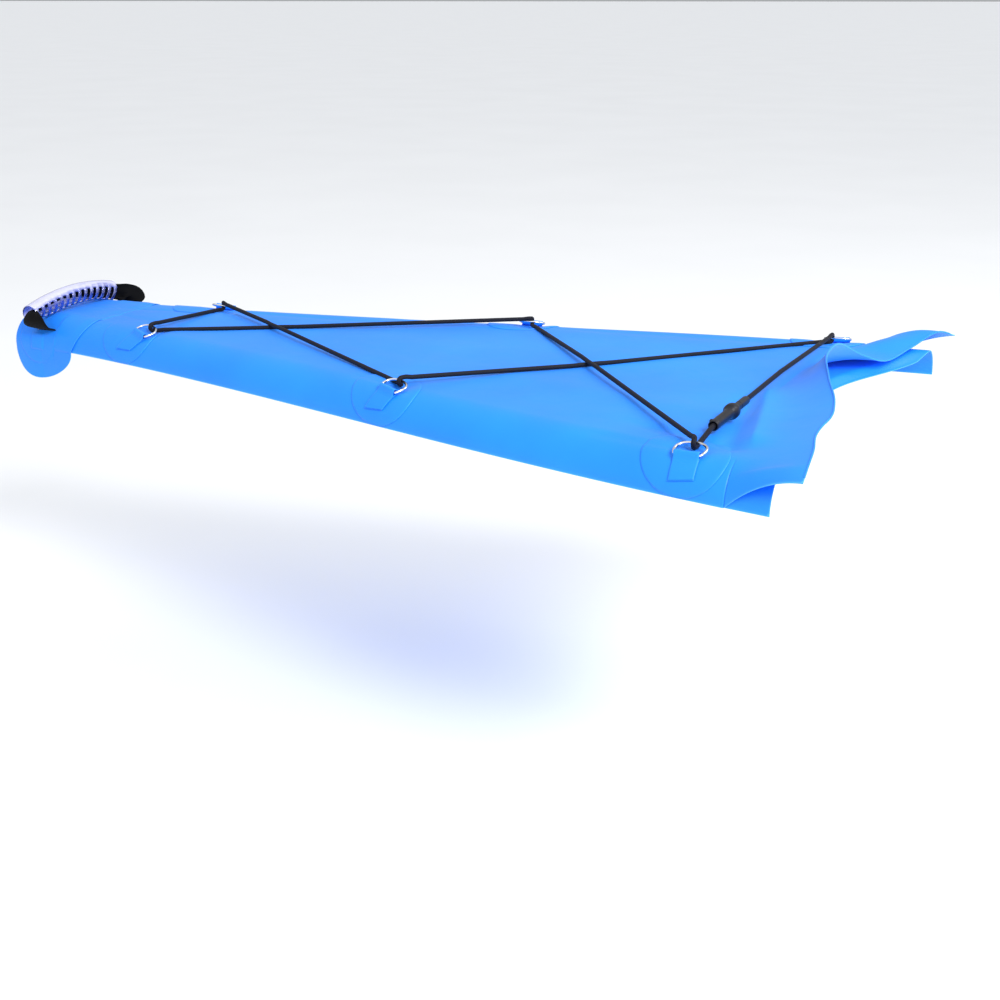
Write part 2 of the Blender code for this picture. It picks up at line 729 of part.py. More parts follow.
# ---- carry handle: webbing through the cap's slots, folded into a clear grip ----
def handle_height(y):
    """Height of the grip's middle line: a low arch."""
    return 0.0115 - 0.014 * (y / 0.10) ** 2


def webbing_half(side, outside):
    """Middle and half-width of the webbing, from its glued tail through the slot to the grip's end."""
    half = []
    for girth in (0.098, 0.075, 0.058):
        half.append((on_nose(side, SLOT_X - NOSE_X, girth, -0.0048), 0.015))
    slot = on_nose(side, SLOT_X - NOSE_X, SLOT_ANGLE * TUBE_R, -0.0042)
    normal = Vector((0.0, side * math.sin(SLOT_ANGLE), math.cos(SLOT_ANGLE)))
    half.append((slot + normal * 0.0015, 0.0195))
    half.append((slot + normal * 0.0080, 0.0225))
    return half + outside


# the webbing's folds between the slots and the grip: place and half-width
PORT_FOLD = [
    (Vector((-1.187, -0.1100, -0.0200)), 0.0235),
    (Vector((-1.188, -0.1165, -0.0110)), 0.0175),
    (Vector((-1.191, -0.1170, -0.0050)), 0.0120),
    (Vector((-1.196, -0.1140, -0.0045)), 0.0095),
]
STARBOARD_FOLD = [
    (Vector((-1.170, 0.1010, -0.0180)), 0.0245),
    (Vector((-1.167, 0.1010, -0.0070)), 0.0200),
    (Vector((-1.180, 0.0950, 0.0000)), 0.0130),
    (Vector((-1.194, 0.0870, 0.0020)), 0.0095),
]


def webbing_stations():
    """The whole strap, from the port tail to the starboard tail."""
    stations = webbing_half(PORT, PORT_FOLD)
    for y in spread(GRIP_PORT_Y + 0.002, GRIP_STARBOARD_Y - 0.002, 12):
        stations.append((Vector((HANDLE_X, y, handle_height(y))), 0.0088))
    return stations + webbing_half(STARBOARD, STARBOARD_FOLD)[::-1]


def webbing():
    """A flat strap lofted between sections of changing width."""
    stations = webbing_stations()
    sections = []
    for i, (point, half_width) in enumerate(stations):
        ahead = stations[min(i + 1, len(stations) - 1)][0] - stations[max(i - 1, 0)][0]
        ahead.x = 0.0
        ahead.normalize()
        across = Vector((1.0, 0.0, 0.0)) * half_width
        flat = ahead.cross(Vector((1.0, 0.0, 0.0))) * (WEBBING / 2)
        corners = (across + flat, across - flat, -across - flat, -across + flat)
        sections.append([point + corner for corner in corners])
    return lofted("handle_webbing", sections, BLACK_WEB)


def grip():
    """A sleeve round the folded webbing, slit along its underside."""
    bm = bmesh.new()
    rings = []
    turns = [math.radians(a) for a in spread(-62.0, 242.0, 14)]
    for y in spread(GRIP_PORT_Y, GRIP_STARBOARD_Y, 14):
        slope = (handle_height(y + 0.001) - handle_height(y - 0.001)) / 0.002
        lean = Vector((0.0, 1.0, slope)).normalized()
        up = Vector((0.0, -lean.z, lean.y))
        middle = Vector((HANDLE_X, y, handle_height(y)))
        ring = []
        for radius, sweep in ((GRIP_R, turns), (GRIP_R - GRIP_WALL, turns[::-1])):
            for a in sweep:
                across = Vector((math.cos(a), 0.0, 0.0)) * radius
                ring.append(bm.verts.new(middle + across + up * math.sin(a) * radius))
        rings.append(ring)
    count = len(rings[0])
    for low, high in zip(rings, rings[1:]):
        for i in range(count):
            j = (i + 1) % count
            bm.faces.new((low[i], low[j], high[j], high[i]))
    for end in (rings[0], rings[-1]):
        for i in range(count // 2 - 1):
            bm.faces.new((end[i], end[i + 1], end[count - 2 - i], end[count - 1 - i]))
    bmesh.ops.recalc_face_normals(bm, faces=bm.faces)
    mesh = bpy.data.meshes.new("handle_grip")
    bm.to_mesh(mesh)
    bm.free()
    mesh.shade_smooth()
    mesh.set_sharp_from_angle(angle=math.radians(35))
    return add("handle_grip", mesh, CLEAR)


webbing()
grip()
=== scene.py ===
"""Looks of a glued-on bow spray deck of an inflatable kayak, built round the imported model.

Frame: metres, +X aft, +Y starboard, +Z up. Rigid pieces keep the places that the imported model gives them;
fabric, cord, webbing and the soft grip are rebuilt here in finer detail.
"""
from math import ceil, copysign, cos, exp, hypot, pi, radians, sin

import bmesh
import bpy
from mathutils import Matrix, Vector, noise


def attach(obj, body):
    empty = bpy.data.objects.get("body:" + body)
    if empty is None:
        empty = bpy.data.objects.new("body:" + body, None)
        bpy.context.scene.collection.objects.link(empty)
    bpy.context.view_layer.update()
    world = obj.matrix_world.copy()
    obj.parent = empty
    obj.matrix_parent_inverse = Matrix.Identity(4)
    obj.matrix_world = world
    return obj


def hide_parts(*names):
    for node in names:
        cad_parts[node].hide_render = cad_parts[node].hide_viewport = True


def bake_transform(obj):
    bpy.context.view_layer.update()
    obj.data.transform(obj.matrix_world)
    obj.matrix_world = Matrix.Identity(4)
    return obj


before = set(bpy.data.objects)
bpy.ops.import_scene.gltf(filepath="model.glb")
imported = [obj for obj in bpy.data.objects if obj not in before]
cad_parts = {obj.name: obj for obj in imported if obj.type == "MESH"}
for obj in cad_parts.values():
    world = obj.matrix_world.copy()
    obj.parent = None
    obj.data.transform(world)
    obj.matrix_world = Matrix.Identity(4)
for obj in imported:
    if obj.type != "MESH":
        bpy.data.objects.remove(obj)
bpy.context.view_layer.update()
PORT, STARBOARD = -1, 1

# ---- the deck's shape, as in the model ----
BAND_START_X = -1.145
BOW_X, AFT_X = -1.12, 0.15
BOW_HALF, AFT_HALF = 0.06, 0.308
BOW_SLOPE, AFT_SLOPE = 0.13, 0.1
TUBE_R = 0.048
BOW_CROWN_Z, AFT_CROWN_Z = -0.0115, -0.0035
FABRIC, GLUE_GAP = 0.0012, 0.0006
SHOULDER = TUBE_R * pi / 2
FLAP_SIDE_X, FLAP_MID_X = 0.053, 0.012
NOSE_X, NOSE_LENGTH = -1.19, 0.16
CAP_AFT_X, CAP_STEP = -1.12, 0.0013
EAR_HALF_LENGTH, EAR_DROP, EAR_SKEW, AFT_LEAN = 0.067, 0.051, 0.28, 0.028
SLOT_X, SLOT_ANGLE = -1.184, radians(54)
HANDLE_X = -1.198
GRIP_PORT_Y, GRIP_STARBOARD_Y = -0.111, 0.08


def mix(a, b, t):
    return a + (b - a) * t


def smooth(t):
    t = min(1.0, max(0.0, t))
    return t * t * (3 - 2 * t)


def spread(start, end, count):
    return [start + (end - start) * i / count for i in range(count + 1)]


def turns_of(count):
    return [2 * pi * k / count for k in range(count)]


def half_breadth(x):
    span = AFT_X - BOW_X
    t = (x - BOW_X) / span
    if t < 0:
        return BOW_HALF + BOW_SLOPE * (x - BOW_X)
    ends = BOW_HALF * (1 + 2 * t) * (1 - t) ** 2 + AFT_HALF * t * t * (3 - 2 * t)
    return ends + span * (BOW_SLOPE * t * (1 - t) ** 2 - AFT_SLOPE * t * t * (1 - t))


def breadth_slope(x):
    return (half_breadth(x + 0.001) - half_breadth(x - 0.001)) / 0.002


def crown_z(x):
    return mix(BOW_CROWN_Z, AFT_CROWN_Z, (x - BOW_X) / (AFT_X - BOW_X))


# ---- D-rings: where they lie and how the cord presses them down ----
RING_PAIRS = {
    "bow": (-0.973, radians(16), 0.027),
    "middle": (-0.456, radians(11), 0.01),
    "rear": (-0.003, radians(-5), 0.005),
}
TAB_ENDS = {
    "bow": (radians(-2), 0.016),
    "middle": (radians(-5), 0.009),
    "rear": (radians(-11), 0.002),
}
REAR_STARBOARD_SHIFT, REAR_STARBOARD_HOLD, PATCH_SHIFT = 0.014, 0.007, 0.0055
BAR_GIRTH, BAR_LIFT = 0.0243, 0.006
RING_WIRE_R, RING_HALF_WIDTH, RING_BAR_HALF, RING_DEPTH = 0.0018, 0.0195, 0.0168, 0.024
RING_TILT = radians(-11)      # the cord holds the rings a little lower than their free rest
CORD_R = 0.0032


def tube_point(side, x, girth, height=0.0):
    b = half_breadth(x)
    if girth <= 0:
        return Vector((x, side * (b + girth), crown_z(x) + height))
    angle = girth / TUBE_R
    reach = TUBE_R + height
    z = crown_z(x) - TUBE_R + reach * cos(angle)
    return Vector((x, side * (b + reach * sin(angle)), z))


def ring_station(side, pair):
    """Station and skew of a ring's bar, and how far forward of it the patch's centre lies."""
    x, skew, patch_forward = RING_PAIRS[pair]
    if (side, pair) == (STARBOARD, "rear"):
        return x + REAR_STARBOARD_SHIFT, skew, patch_forward + REAR_STARBOARD_SHIFT - PATCH_SHIFT
    return x, skew, patch_forward


def ring_frame(side, pair):
    """Frame on a ring's bar: X along the bar, Y inboard to the bow, Z out of the hull."""
    x, skew, _ = ring_station(side, pair)
    angle = BAR_GIRTH / TUBE_R
    hull = Vector((1.0, side * breadth_slope(x), 0.0)).normalized()
    out = Vector((0.0, side * sin(angle), cos(angle)))
    out = (out - hull * out.dot(hull)).normalized()
    down = out.cross(hull) * side
    along = hull * cos(skew) + down * sin(skew)
    inboard = hull * sin(skew) - down * cos(skew)
    axes = Matrix((along * -side, inboard, out)).transposed().to_4x4()
    return Matrix.Translation(tube_point(side, x, BAR_GIRTH, BAR_LIFT)) @ axes


def ring_bow(side, pair):
    """Where the cord pulls at the ring's bow."""
    hold = Vector((0.0, RING_DEPTH, 0.0))
    if (side, pair) == (STARBOARD, "rear"):
        hold = Vector((REAR_STARBOARD_HOLD, RING_DEPTH - 0.0005, 0.0))
    return ring_frame(side, pair) @ Matrix.Rotation(RING_TILT, 4, "X") @ hold


PAIRS = [(side, pair) for pair in RING_PAIRS for side in (PORT, STARBOARD)]
BOWS = [ring_bow(side, pair) for side, pair in PAIRS]


def ridge(x, y, a, b, width, height):
    """A soft fold along the line a-b, dying away past its ends."""
    ax, ay = a
    dx, dy = b[0] - ax, b[1] - ay
    length = hypot(dx, dy)
    t = ((x - ax) * dx + (y - ay) * dy) / length ** 2
    off = ((x - ax) * dy - (y - ay) * dx) / length
    past = max(0.0, abs(t - 0.5) - 0.5) * length / (3 * width)
    return height * exp(-(off / width) ** 2 - past ** 2)


FOLDS = [
    ((-0.64, 0.15), (-0.47, 0.196), 0.01, -0.003),
    ((-0.66, 0.128), (-0.5, 0.172), 0.014, 0.0018),
    ((-0.36, 0.215), (-0.06, 0.262), 0.016, -0.0022),
    ((0.022, -0.235), (-0.002, -0.11), 0.016, -0.006),
    ((-0.52, -0.183), (-0.462, -0.203), 0.006, -0.0016),
    ((-0.12, -0.283), (-0.02, -0.297), 0.007, -0.0018),
    ((-0.07, -0.235), (0.035, -0.262), 0.012, -0.003),
    ((-1.09, 0.028), (-0.98, 0.06), 0.007, -0.0014),
    ((-1.09, -0.02), (-0.96, -0.04), 0.008, -0.0012),
    ((-0.93, 0.08), (-0.7, 0.115), 0.01, -0.0015),
    ((-0.3, -0.1), (-0.05, -0.14), 0.03, 0.002),
]
CORD_DIP, DIP_REACH = 0.0062, 0.019
CREST_RISE, CREST_ROUND, CREST_FORE, CREST_AFT = 0.0075, 0.0012, 0.009, 0.03
CREST = [(-0.01, 0.03), (0.0, -0.02), (0.0247, -0.118), (0.042, -0.195), (0.055, -0.263)]


def crest_height(x, y):
    """A crisp crest aft of the connector: it falls away quickly forward of it, slowly aft."""
    for (ax, ay), (bx, by) in zip(CREST, CREST[1:]):
        if by <= y <= ay:
            off = x - mix(ax, bx, (y - ay) / (by - ay))
            ends = smooth((0.02 - y) / 0.06) * smooth((y + 0.263) / 0.035)
            reach = CREST_FORE if off < 0 else CREST_AFT
            return CREST_RISE * ends * exp(-hypot(off, CREST_ROUND) / reach)
    return 0.0


def settle(x, y):
    """Dip of the sheet under the cord, its folds, and its slack between the tubes."""
    dip = crest_height(x, y)
    for bow in BOWS:
        far = hypot(x - bow.x, y - bow.y) / DIP_REACH
        if far < 3:
            dip -= CORD_DIP * exp(-far * far)
    for a, b, width, rise in FOLDS:
        dip += ridge(x, y, a, b, width, rise)
    free = smooth((half_breadth(x) - 0.012 - abs(y)) / 0.05)
    slack = noise.noise(Vector((x * 3.1, y * 13.0, 0.3))) * 0.0016
    slack += noise.noise(Vector((x * 9.0, y * 9.0, 4.1))) * 0.0007
    return dip + slack * free


# ---- mesh helpers ----
def object_from(bm, name):
    mesh = bpy.data.meshes.new(name)
    bm.to_mesh(mesh)
    bm.free()
    made = bpy.data.objects.new(name, mesh)
    bpy.context.scene.collection.objects.link(made)
    return made


def apply_all(piece):
    """Replaces the piece's mesh by its evaluated one."""
    graph = bpy.context.evaluated_depsgraph_get()
    mesh = bpy.data.meshes.new_from_object(piece.evaluated_get(graph))
    piece.modifiers.clear()
    piece.data = mesh


def recoat(piece, look):
    piece.data.materials.clear()
    piece.data.materials.append(look)


def smoothed(piece, look, sharp=None):
    """One material, and smooth but for edges sharper than an angle."""
    recoat(piece, look)
    piece.data.shade_smooth()
    if sharp:
        piece.data.set_sharp_from_angle(angle=radians(sharp))
    return piece


def closed_piece(bm, name, look, sharp):
    bmesh.ops.recalc_face_normals(bm, faces=bm.faces)
    return smoothed(object_from(bm, name), look, sharp)


def skin(bm, rings, closed=False, mapped=None):
    """Joins rings of vertices, capped unless closed; mapped is a UV layer with its U and V values."""
    count = len(rings[0])
    for j, (low, high) in enumerate(zip(rings, rings[1:] + (rings[:1] if closed else []))):
        for k in range(count):
            n = (k + 1) % count
            face = bm.faces.new((low[k], low[n], high[n], high[k]))
            if mapped:
                uv, us, vs = mapped
                corners = ((k, j), (k + 1, j), (k + 1, j + 1), (k, j + 1))
                for loop, (u, v) in zip(face.loops, corners):
                    loop[uv].uv = (us[u], vs[v])
    if not closed:
        bm.faces.new(rings[0][::-1])
        bm.faces.new(rings[-1])


def grid_piece(name, rows, look, thickness=0.0, closed=False):
    """A sheet over rows of points, its drawn face up, with a border weight for a painted highlight along its
    edges.
    """
    bm = bmesh.new()
    rim = bm.verts.layers.float.new("rim")
    grid = [[bm.verts.new(point) for point in row] for row in rows]
    last = len(rows) - 1
    for j, row in enumerate(grid):
        for i, vert in enumerate(row):
            vert[rim] = 1.0 if j in (0, last) or i in (0, len(row) - 1) else 0.0
    for low, high in zip(grid, grid[1:]):
        for i in range(len(low) - 1):
            bm.faces.new((low[i], low[i + 1], high[i + 1], high[i]))
        if closed:
            bm.faces.new((low[-1], low[0], high[0], high[-1]))
    bm.normal_update()
    if sum(face.normal.z * face.calc_area() for face in bm.faces) < 0:
        bmesh.ops.reverse_faces(bm, faces=bm.faces)
    piece = object_from(bm, name)
    if thickness:
        solid = piece.modifiers.new("Thickness", "SOLIDIFY")
        solid.thickness = thickness
        solid.offset = -1.0
        solid.use_even_offset = True
        apply_all(piece)
    return smoothed(piece, look, 50)


def tube_piece(name, points, radius, look, sides, closed=False):
    """A round tube along points, with UVs: U round it, V along it in metres."""
    bm = bmesh.new()
    uv = bm.loops.layers.uv.new("UVMap")
    lengths = [0.0]
    for a, b in zip(points, points[1:] + points[:1]):
        lengths.append(lengths[-1] + (b - a).length)
    rings = []
    up = Vector((0.0, 0.0, 1.0))
    for i, point in enumerate(points):
        before = points[i - 1] if i or closed else points[0]
        after = points[(i + 1) % len(points)] if i + 1 < len(points) or closed else points[-1]
        ahead = (after - before).normalized()
        up = (up - ahead * up.dot(ahead)).normalized()
        side = ahead.cross(up)
        arms = [side * cos(turn) + up * sin(turn) for turn in turns_of(sides)]
        rings.append([bm.verts.new(point + arm * radius) for arm in arms])
    skin(bm, rings, closed, (uv, [k / sides for k in range(sides + 1)], lengths))
    return closed_piece(bm, name, look, 60)


def curve_through(points, spacing):
    """A smooth curve through points, its slopes weighted by the lengths on either side."""
    slopes = [(points[1] - points[0]).normalized()]
    for before, here, after in zip(points, points[1:], points[2:]):
        back, ahead = (here - before).length, (after - here).length
        slope = (here - before) * (ahead / back) + (after - here) * (back / ahead)
        slopes.append(slope / (back + ahead))
    slopes.append((points[-1] - points[-2]).normalized())
    route = []
    for here, after, leaving, arriving in zip(points, points[1:], slopes, slopes[1:]):
        length = (after - here).length
        count = max(1, round(length / spacing))
        for i in range(count):
            t = i / count
            place = here * (1 + 2 * t) * (1 - t) ** 2 + after * t * t * (3 - 2 * t)
            route.append(place + (leaving * (1 - t) - arriving * t) * (length * t * (1 - t)))
    route.append(points[-1])
    return route


# ---- materials ----
def nodes_of(name):
    look = bpy.data.materials.new(name)
    look.use_nodes = True
    tree = look.node_tree
    return look, tree, tree.nodes["Principled BSDF"]


def fed(node, inputs, out=0):
    """Gives a node's sockets values or other nodes' outputs, and returns one of its outputs."""
    for key, value in inputs.items():
        socket = node.inputs[key]
        if isinstance(value, bpy.types.NodeSocket):
            node.id_data.links.new(value, socket)
        elif socket.type == "RGBA":
            socket.default_value = (*value, 1.0)
        else:
            socket.default_value = value
    return node.outputs[out]


def coordinates(tree, kind="Object"):
    return tree.nodes.new("ShaderNodeTexCoord").outputs[kind]


def noise_of(source, scale, detail=3.0):
    node = source.id_data.nodes.new("ShaderNodeTexNoise")
    return fed(node, {"Scale": scale, "Detail": detail, "Vector": source}, "Fac")


def bands(source, scale, direction):
    node = source.id_data.nodes.new("ShaderNodeTexWave")
    node.bands_direction = direction
    return fed(node, {"Scale": scale, "Vector": source}, "Fac")


def ramp(value, stops):
    node = value.id_data.nodes.new("ShaderNodeValToRGB")
    while len(node.color_ramp.elements) < len(stops):
        node.color_ramp.elements.new(0.5)
    for element, (place, colour) in zip(node.color_ramp.elements, stops):
        element.position = place
        element.color = (*colour, 1.0)
    return fed(node, {"Fac": value}, "Color")


def ranged(value, low, high, start=0.0):
    """Brings a value that runs from start to 1 into the range low to high."""
    node = value.id_data.nodes.new("ShaderNodeMapRange")
    inputs = {"From Min": start, "To Min": low, "To Max": high, "Value": value}
    return fed(node, inputs, "Result")


def blended(factor, a, b):
    node = factor.id_data.nodes.new("ShaderNodeMix")
    node.data_type = "RGBA"
    return fed(node, {0: factor, 6: a, 7: b}, 2)


def maths(operation, a, b):
    node = a.id_data.nodes.new("ShaderNodeMath")
    node.operation = operation
    return fed(node, {0: a, 1: b})


def bumped(height, strength, distance, normal=None):
    node = height.id_data.nodes.new("ShaderNodeBump")
    inputs = {"Strength": strength, "Distance": distance, "Height": height}
    if normal is not None:
        inputs["Normal"] = normal
    return fed(node, inputs, "Normal")


def split_of(source):
    node = source.id_data.nodes.new("ShaderNodeSeparateXYZ")
    fed(node, {0: source})
    return node.outputs


def coated_fabric(name, low, high, edge):
    """PVC-coated fabric: soft satin sheen, scrim showing faintly through, slight mottling, and a painted
    highlight along its edges.
    """
    look, tree, shader = nodes_of(name)
    here = coordinates(tree)
    colour = ramp(noise_of(here, 5.0, 4.0), [(0.3, low), (0.7, high)])
    # Painted highlight: a lighter blue is blended in along sheet, patch and tab edges, weighted by their rim
    # attribute.
    rim = tree.nodes.new("ShaderNodeAttribute")
    rim.attribute_name = "rim"
    edge_highlight = maths("POWER", rim.outputs["Fac"], 3.0)
    scrim = maths("MULTIPLY", bands(here, 285.0, "X"), bands(here, 285.0, "Y"))
    normal = bumped(noise_of(here, 14.0), 0.1, 0.004)
    normal = bumped(scrim, 0.05, 0.0003, normal)
    normal = bumped(noise_of(here, 1100.0, 2.0), 0.05, 0.0003, normal)
    fed(shader, {
        "Base Color": blended(maths("MULTIPLY", edge_highlight, 0.55), colour, edge),
        "Roughness": ranged(noise_of(here, 40.0, 2.0), 0.42, 0.56),
        "Normal": normal,
        "Specular IOR Level": 0.42,
        "Sheen Weight": 0.06,
        "Sheen Roughness": 0.5,
    })
    return look


def steel():
    """Polished stainless wire."""
    look, tree, shader = nodes_of("stainless_steel")
    here = coordinates(tree)
    stops = [(0.3, (0.7, 0.72, 0.76)), (0.8, (0.86, 0.87, 0.9))]
    fed(shader, {
        "Base Color": ramp(noise_of(here, 120.0), stops),
        "Roughness": ranged(noise_of(here, 300.0, 4.0), 0.08, 0.2),
        "Normal": bumped(noise_of(here, 700.0, 2.0), 0.06, 0.0002),
        "Metallic": 1.0,
    })
    return look


BRAID_STRANDS, BRAID_PITCH = 8, 0.0052


def braid():
    """Braided polyester sheath of the shock cord: strands crossing both ways round it."""
    look, tree, shader = nodes_of("braided_sheath")
    place = split_of(coordinates(tree, "UV"))
    around = maths("MULTIPLY", place["X"], 2 * pi * BRAID_STRANDS)
    along = maths("MULTIPLY", place["Y"], 2 * pi / BRAID_PITCH)
    one = maths("SINE", maths("ADD", around, along), 0.0)
    other = maths("SINE", maths("SUBTRACT", around, along), 0.0)
    strands = maths("MAXIMUM", one, other)
    stops = [(0.0, (0.001, 0.001, 0.003)), (1.0, (0.006, 0.006, 0.015))]
    fed(shader, {
        "Base Color": ramp(strands, stops),
        "Normal": bumped(strands, 0.45, 0.0005),
        "Roughness": 0.6,
        "Specular IOR Level": 0.22,
        "Sheen Weight": 0.02,
    })
    return look


def woven():
    """Nylon webbing: ribs along it and weft across it."""
    look, tree, shader = nodes_of("black_webbing")
    here = coordinates(tree, "UV")
    weave = maths("MULTIPLY", bands(here, 160.0, "X"), bands(here, 210.0, "Y"))
    stops = [(0.0, (0.0008, 0.0008, 0.0012)), (1.0, (0.003, 0.003, 0.0045))]
    fed(shader, {
        "Base Color": ramp(weave, stops),
        "Normal": bumped(weave, 0.4, 0.0004),
        "Roughness": 0.8,
        "Specular IOR Level": 0.1,
        "Sheen Weight": 0.02,
    })
    return look


def moulded():
    """Fine-grained black plastic of the connector."""
    look, tree, shader = nodes_of("connector_plastic")
    here = coordinates(tree)
    stops = [(0.3, (0.003, 0.003, 0.006)), (0.8, (0.007, 0.007, 0.013))]
    fed(shader, {
        "Base Color": ramp(noise_of(here, 90.0), stops),
        "Normal": bumped(noise_of(here, 1500.0, 2.0), 0.1, 0.0002),
        "Roughness": ranged(noise_of(here, 60.0), 0.28, 0.4),
        "Specular IOR Level": 0.35,
    })
    return look


def clear_vinyl():
    """Clear moulded vinyl with a violet cast and cloudy streaks; faces turned up are painted whiter and less
    clear, a painted highlight from above.
    """
    look, tree, shader = nodes_of("clear_vinyl")
    stretch = tree.nodes.new("ShaderNodeMapping")
    streaked = fed(stretch, {"Scale": (3.0, 0.6, 3.0), "Vector": coordinates(tree)}, "Vector")
    streaks = noise_of(streaked, 45.0)
    facing = split_of(tree.nodes.new("ShaderNodeNewGeometry").outputs["Normal"])
    # Painted highlight: the higher the face's normal points, the whiter and less see-through the vinyl is
    # made.
    top_light = maths("MULTIPLY", facing["Z"], 0.8)
    streaks_and_top_light = maths("ADD", top_light, maths("MULTIPLY", streaks, 0.7))
    stops = [(0.3, (0.12, 0.18, 0.75)), (0.62, (0.42, 0.46, 0.92)), (1.0, (0.86, 0.84, 1.0))]
    fed(shader, {
        "Base Color": ramp(streaks_and_top_light, stops),
        "Transmission Weight": ranged(streaks_and_top_light, 0.92, 0.45, start=0.3),
        "Normal": bumped(streaks, 0.25, 0.0015),
        "Roughness": 0.09,
        "IOR": 1.45,
        "Coat Weight": 0.7,
        "Coat Roughness": 0.04,
    })
    return look


BLUE = coated_fabric("blue_pvc_fabric", (0.001, 0.2, 0.9), (0.003, 0.25, 0.97), (0.08, 0.46, 1.0))
STEEL = steel()
BRAID = braid()
WEBBING = woven()
PLASTIC = moulded()
VINYL = clear_vinyl()

# ---- deck cover: one sheet from under the bow cap to the free rear edge ----
RIM = [
    (0.147, -0.372, 0.001),
    (0.144, -0.345, 0.008),
    (0.136, -0.29, 0.013),
    (0.124, -0.235, 0.014),
    (0.122, -0.205, 0.015),
    (0.124, -0.17, 0.018),
    (0.115, -0.12, 0.021),
    (0.081, -0.02, 0.028),
    (0.056, 0.07, 0.036),
    (0.057, 0.12, 0.037),
    (0.079, 0.185, 0.008),
    (0.101, 0.235, -0.008),
    (0.124, 0.29, 0.002),
    (0.153, 0.34, 0.018),
    (0.17, 0.37, 0.008),
]
RIM_CURVE = curve_through([Vector(point) for point in RIM], 0.004)
CROWN_HALF = half_breadth(FLAP_SIDE_X)


def rim_point(share):
    place = share * (len(RIM_CURVE) - 1)
    low = min(int(place), len(RIM_CURVE) - 2)
    return RIM_CURVE[low].lerp(RIM_CURVE[low + 1], place - low)


def free_edge_x(share):
    return FLAP_MID_X + (FLAP_SIDE_X - FLAP_MID_X) * share ** 4


def lead_point(across):
    """Point where the flap leaves the hull, at a girth from the deck's middle."""
    side = PORT if across < 0 else STARBOARD
    if abs(across) > CROWN_HALF:
        return tube_point(side, FLAP_SIDE_X, abs(across) - CROWN_HALF)
    x = free_edge_x(abs(across) / CROWN_HALF)
    return Vector((x, across * half_breadth(x) / CROWN_HALF, crown_z(x)))


def flap_point(out, across):
    """Point on the flap's upper face: out runs from its lead line (0) to the rim (1)."""
    lead = lead_point(across)
    rim = rim_point((across / (CROWN_HALF + SHOULDER) + 1) / 2)
    drop = min(1.0, (crown_z(FLAP_SIDE_X) - lead.z) / TUBE_R * 2.5)
    bend = lead.lerp(rim, 0.45)
    bend.z = lead.z + (rim.z - lead.z) * (0.12 + 0.75 * max(0.0, drop))
    return lead.lerp(bend, out).lerp(bend.lerp(rim, out), out)


SHARES = [0.5 * s + 0.5 * sin(pi / 2 * s) for s in spread(-1.0, 1.0, 52)]
GIRTHS = spread(SHOULDER, 0.0, 14)[:-1]
COLUMNS = [(PORT, 1.0, girth) for girth in GIRTHS]
COLUMNS += [(PORT if share < 0 else STARBOARD, abs(share), 0.0) for share in SHARES]
COLUMNS += [(STARBOARD, 1.0, girth) for girth in GIRTHS[::-1]]


def cover_point(side, share, girth, x, height=0.0):
    """Point over the deck at a column and station, with the sheet's dips and folds."""
    if girth > 0:
        point = tube_point(side, x, girth, height)
    else:
        point = Vector((x, side * share * half_breadth(x), crown_z(x) + height))
    point.z += settle(point.x, point.y) * smooth(1.4 - girth / 0.03)
    edge_x = CAP_AFT_X + AFT_LEAN * cos(girth / TUBE_R)
    point.z -= CAP_STEP * smooth((edge_x - x) / 0.004) * smooth(1.5 - girth / 0.05)
    return point


LEAD_CREASE, FLAP_SWELL = 0.0011, 0.009


def deck_cover():
    """The sheet over hull and flap, creased on the lead line and swollen in the flap to starboard."""
    rows = []
    near_lead = [0.98, 0.985, 0.989, 0.992, 0.9945, 0.9965, 0.998, 0.999, 1.0]
    for t in spread(0.0, 0.975, 185) + near_lead:
        row = []
        for side, share, girth in COLUMNS:
            x = mix(BAND_START_X, free_edge_x(share), t)
            crease = LEAD_CREASE if t == 1.0 and girth > 0.012 else 0.0
            row.append(cover_point(side, share, girth, x, -crease))
        rows.append(row)
    for out in [0.008, 0.016, 0.028, 0.045, 0.065, *spread(0.09, 1.0, 30)]:
        row = []
        for side, share, girth in COLUMNS:
            across = side * (share * CROWN_HALF + girth)
            point = flap_point(out, across)
            if across > 0:
                swell = smooth((across - 0.25) / 0.05) * smooth((0.36 - across) / 0.03)
                point.z += FLAP_SWELL * sin(pi * out) * swell
            fade = 1 - smooth(out / 0.9)
            point.z += settle(point.x, point.y) * fade * smooth(1.4 - girth / 0.03)
            row.append(point)
        rows.append(row)
    piece = grid_piece("deck_cover", rows, BLUE, FABRIC)
    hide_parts("deck_panel", "gunwale_band_port", "gunwale_band_starboard", "rear_flap")
    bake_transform(piece)
    return piece, rows[-1]


cover, rim_row = deck_cover()
HEM_R = 0.0013


def rear_hem(edge):
    """Rounded welded edge along the rim."""
    line = [point - Vector((0.0006, 0.0, FABRIC / 2)) for point in edge[2:-2]]
    piece = tube_piece("rear_hem_bead", line, HEM_R, BLUE, 8)
    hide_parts("rear_hem")
    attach(piece, "flap")
    return piece


hem = rear_hem(rim_row)

# ---- underlay ----
UNDERLAY_FORE_X, UNDERLAY_MID_X, UNDERLAY_SAG = -0.02, 0.05, 0.018
UNDERLAY_AFT_X = {PORT: 0.107, STARBOARD: 0.146}


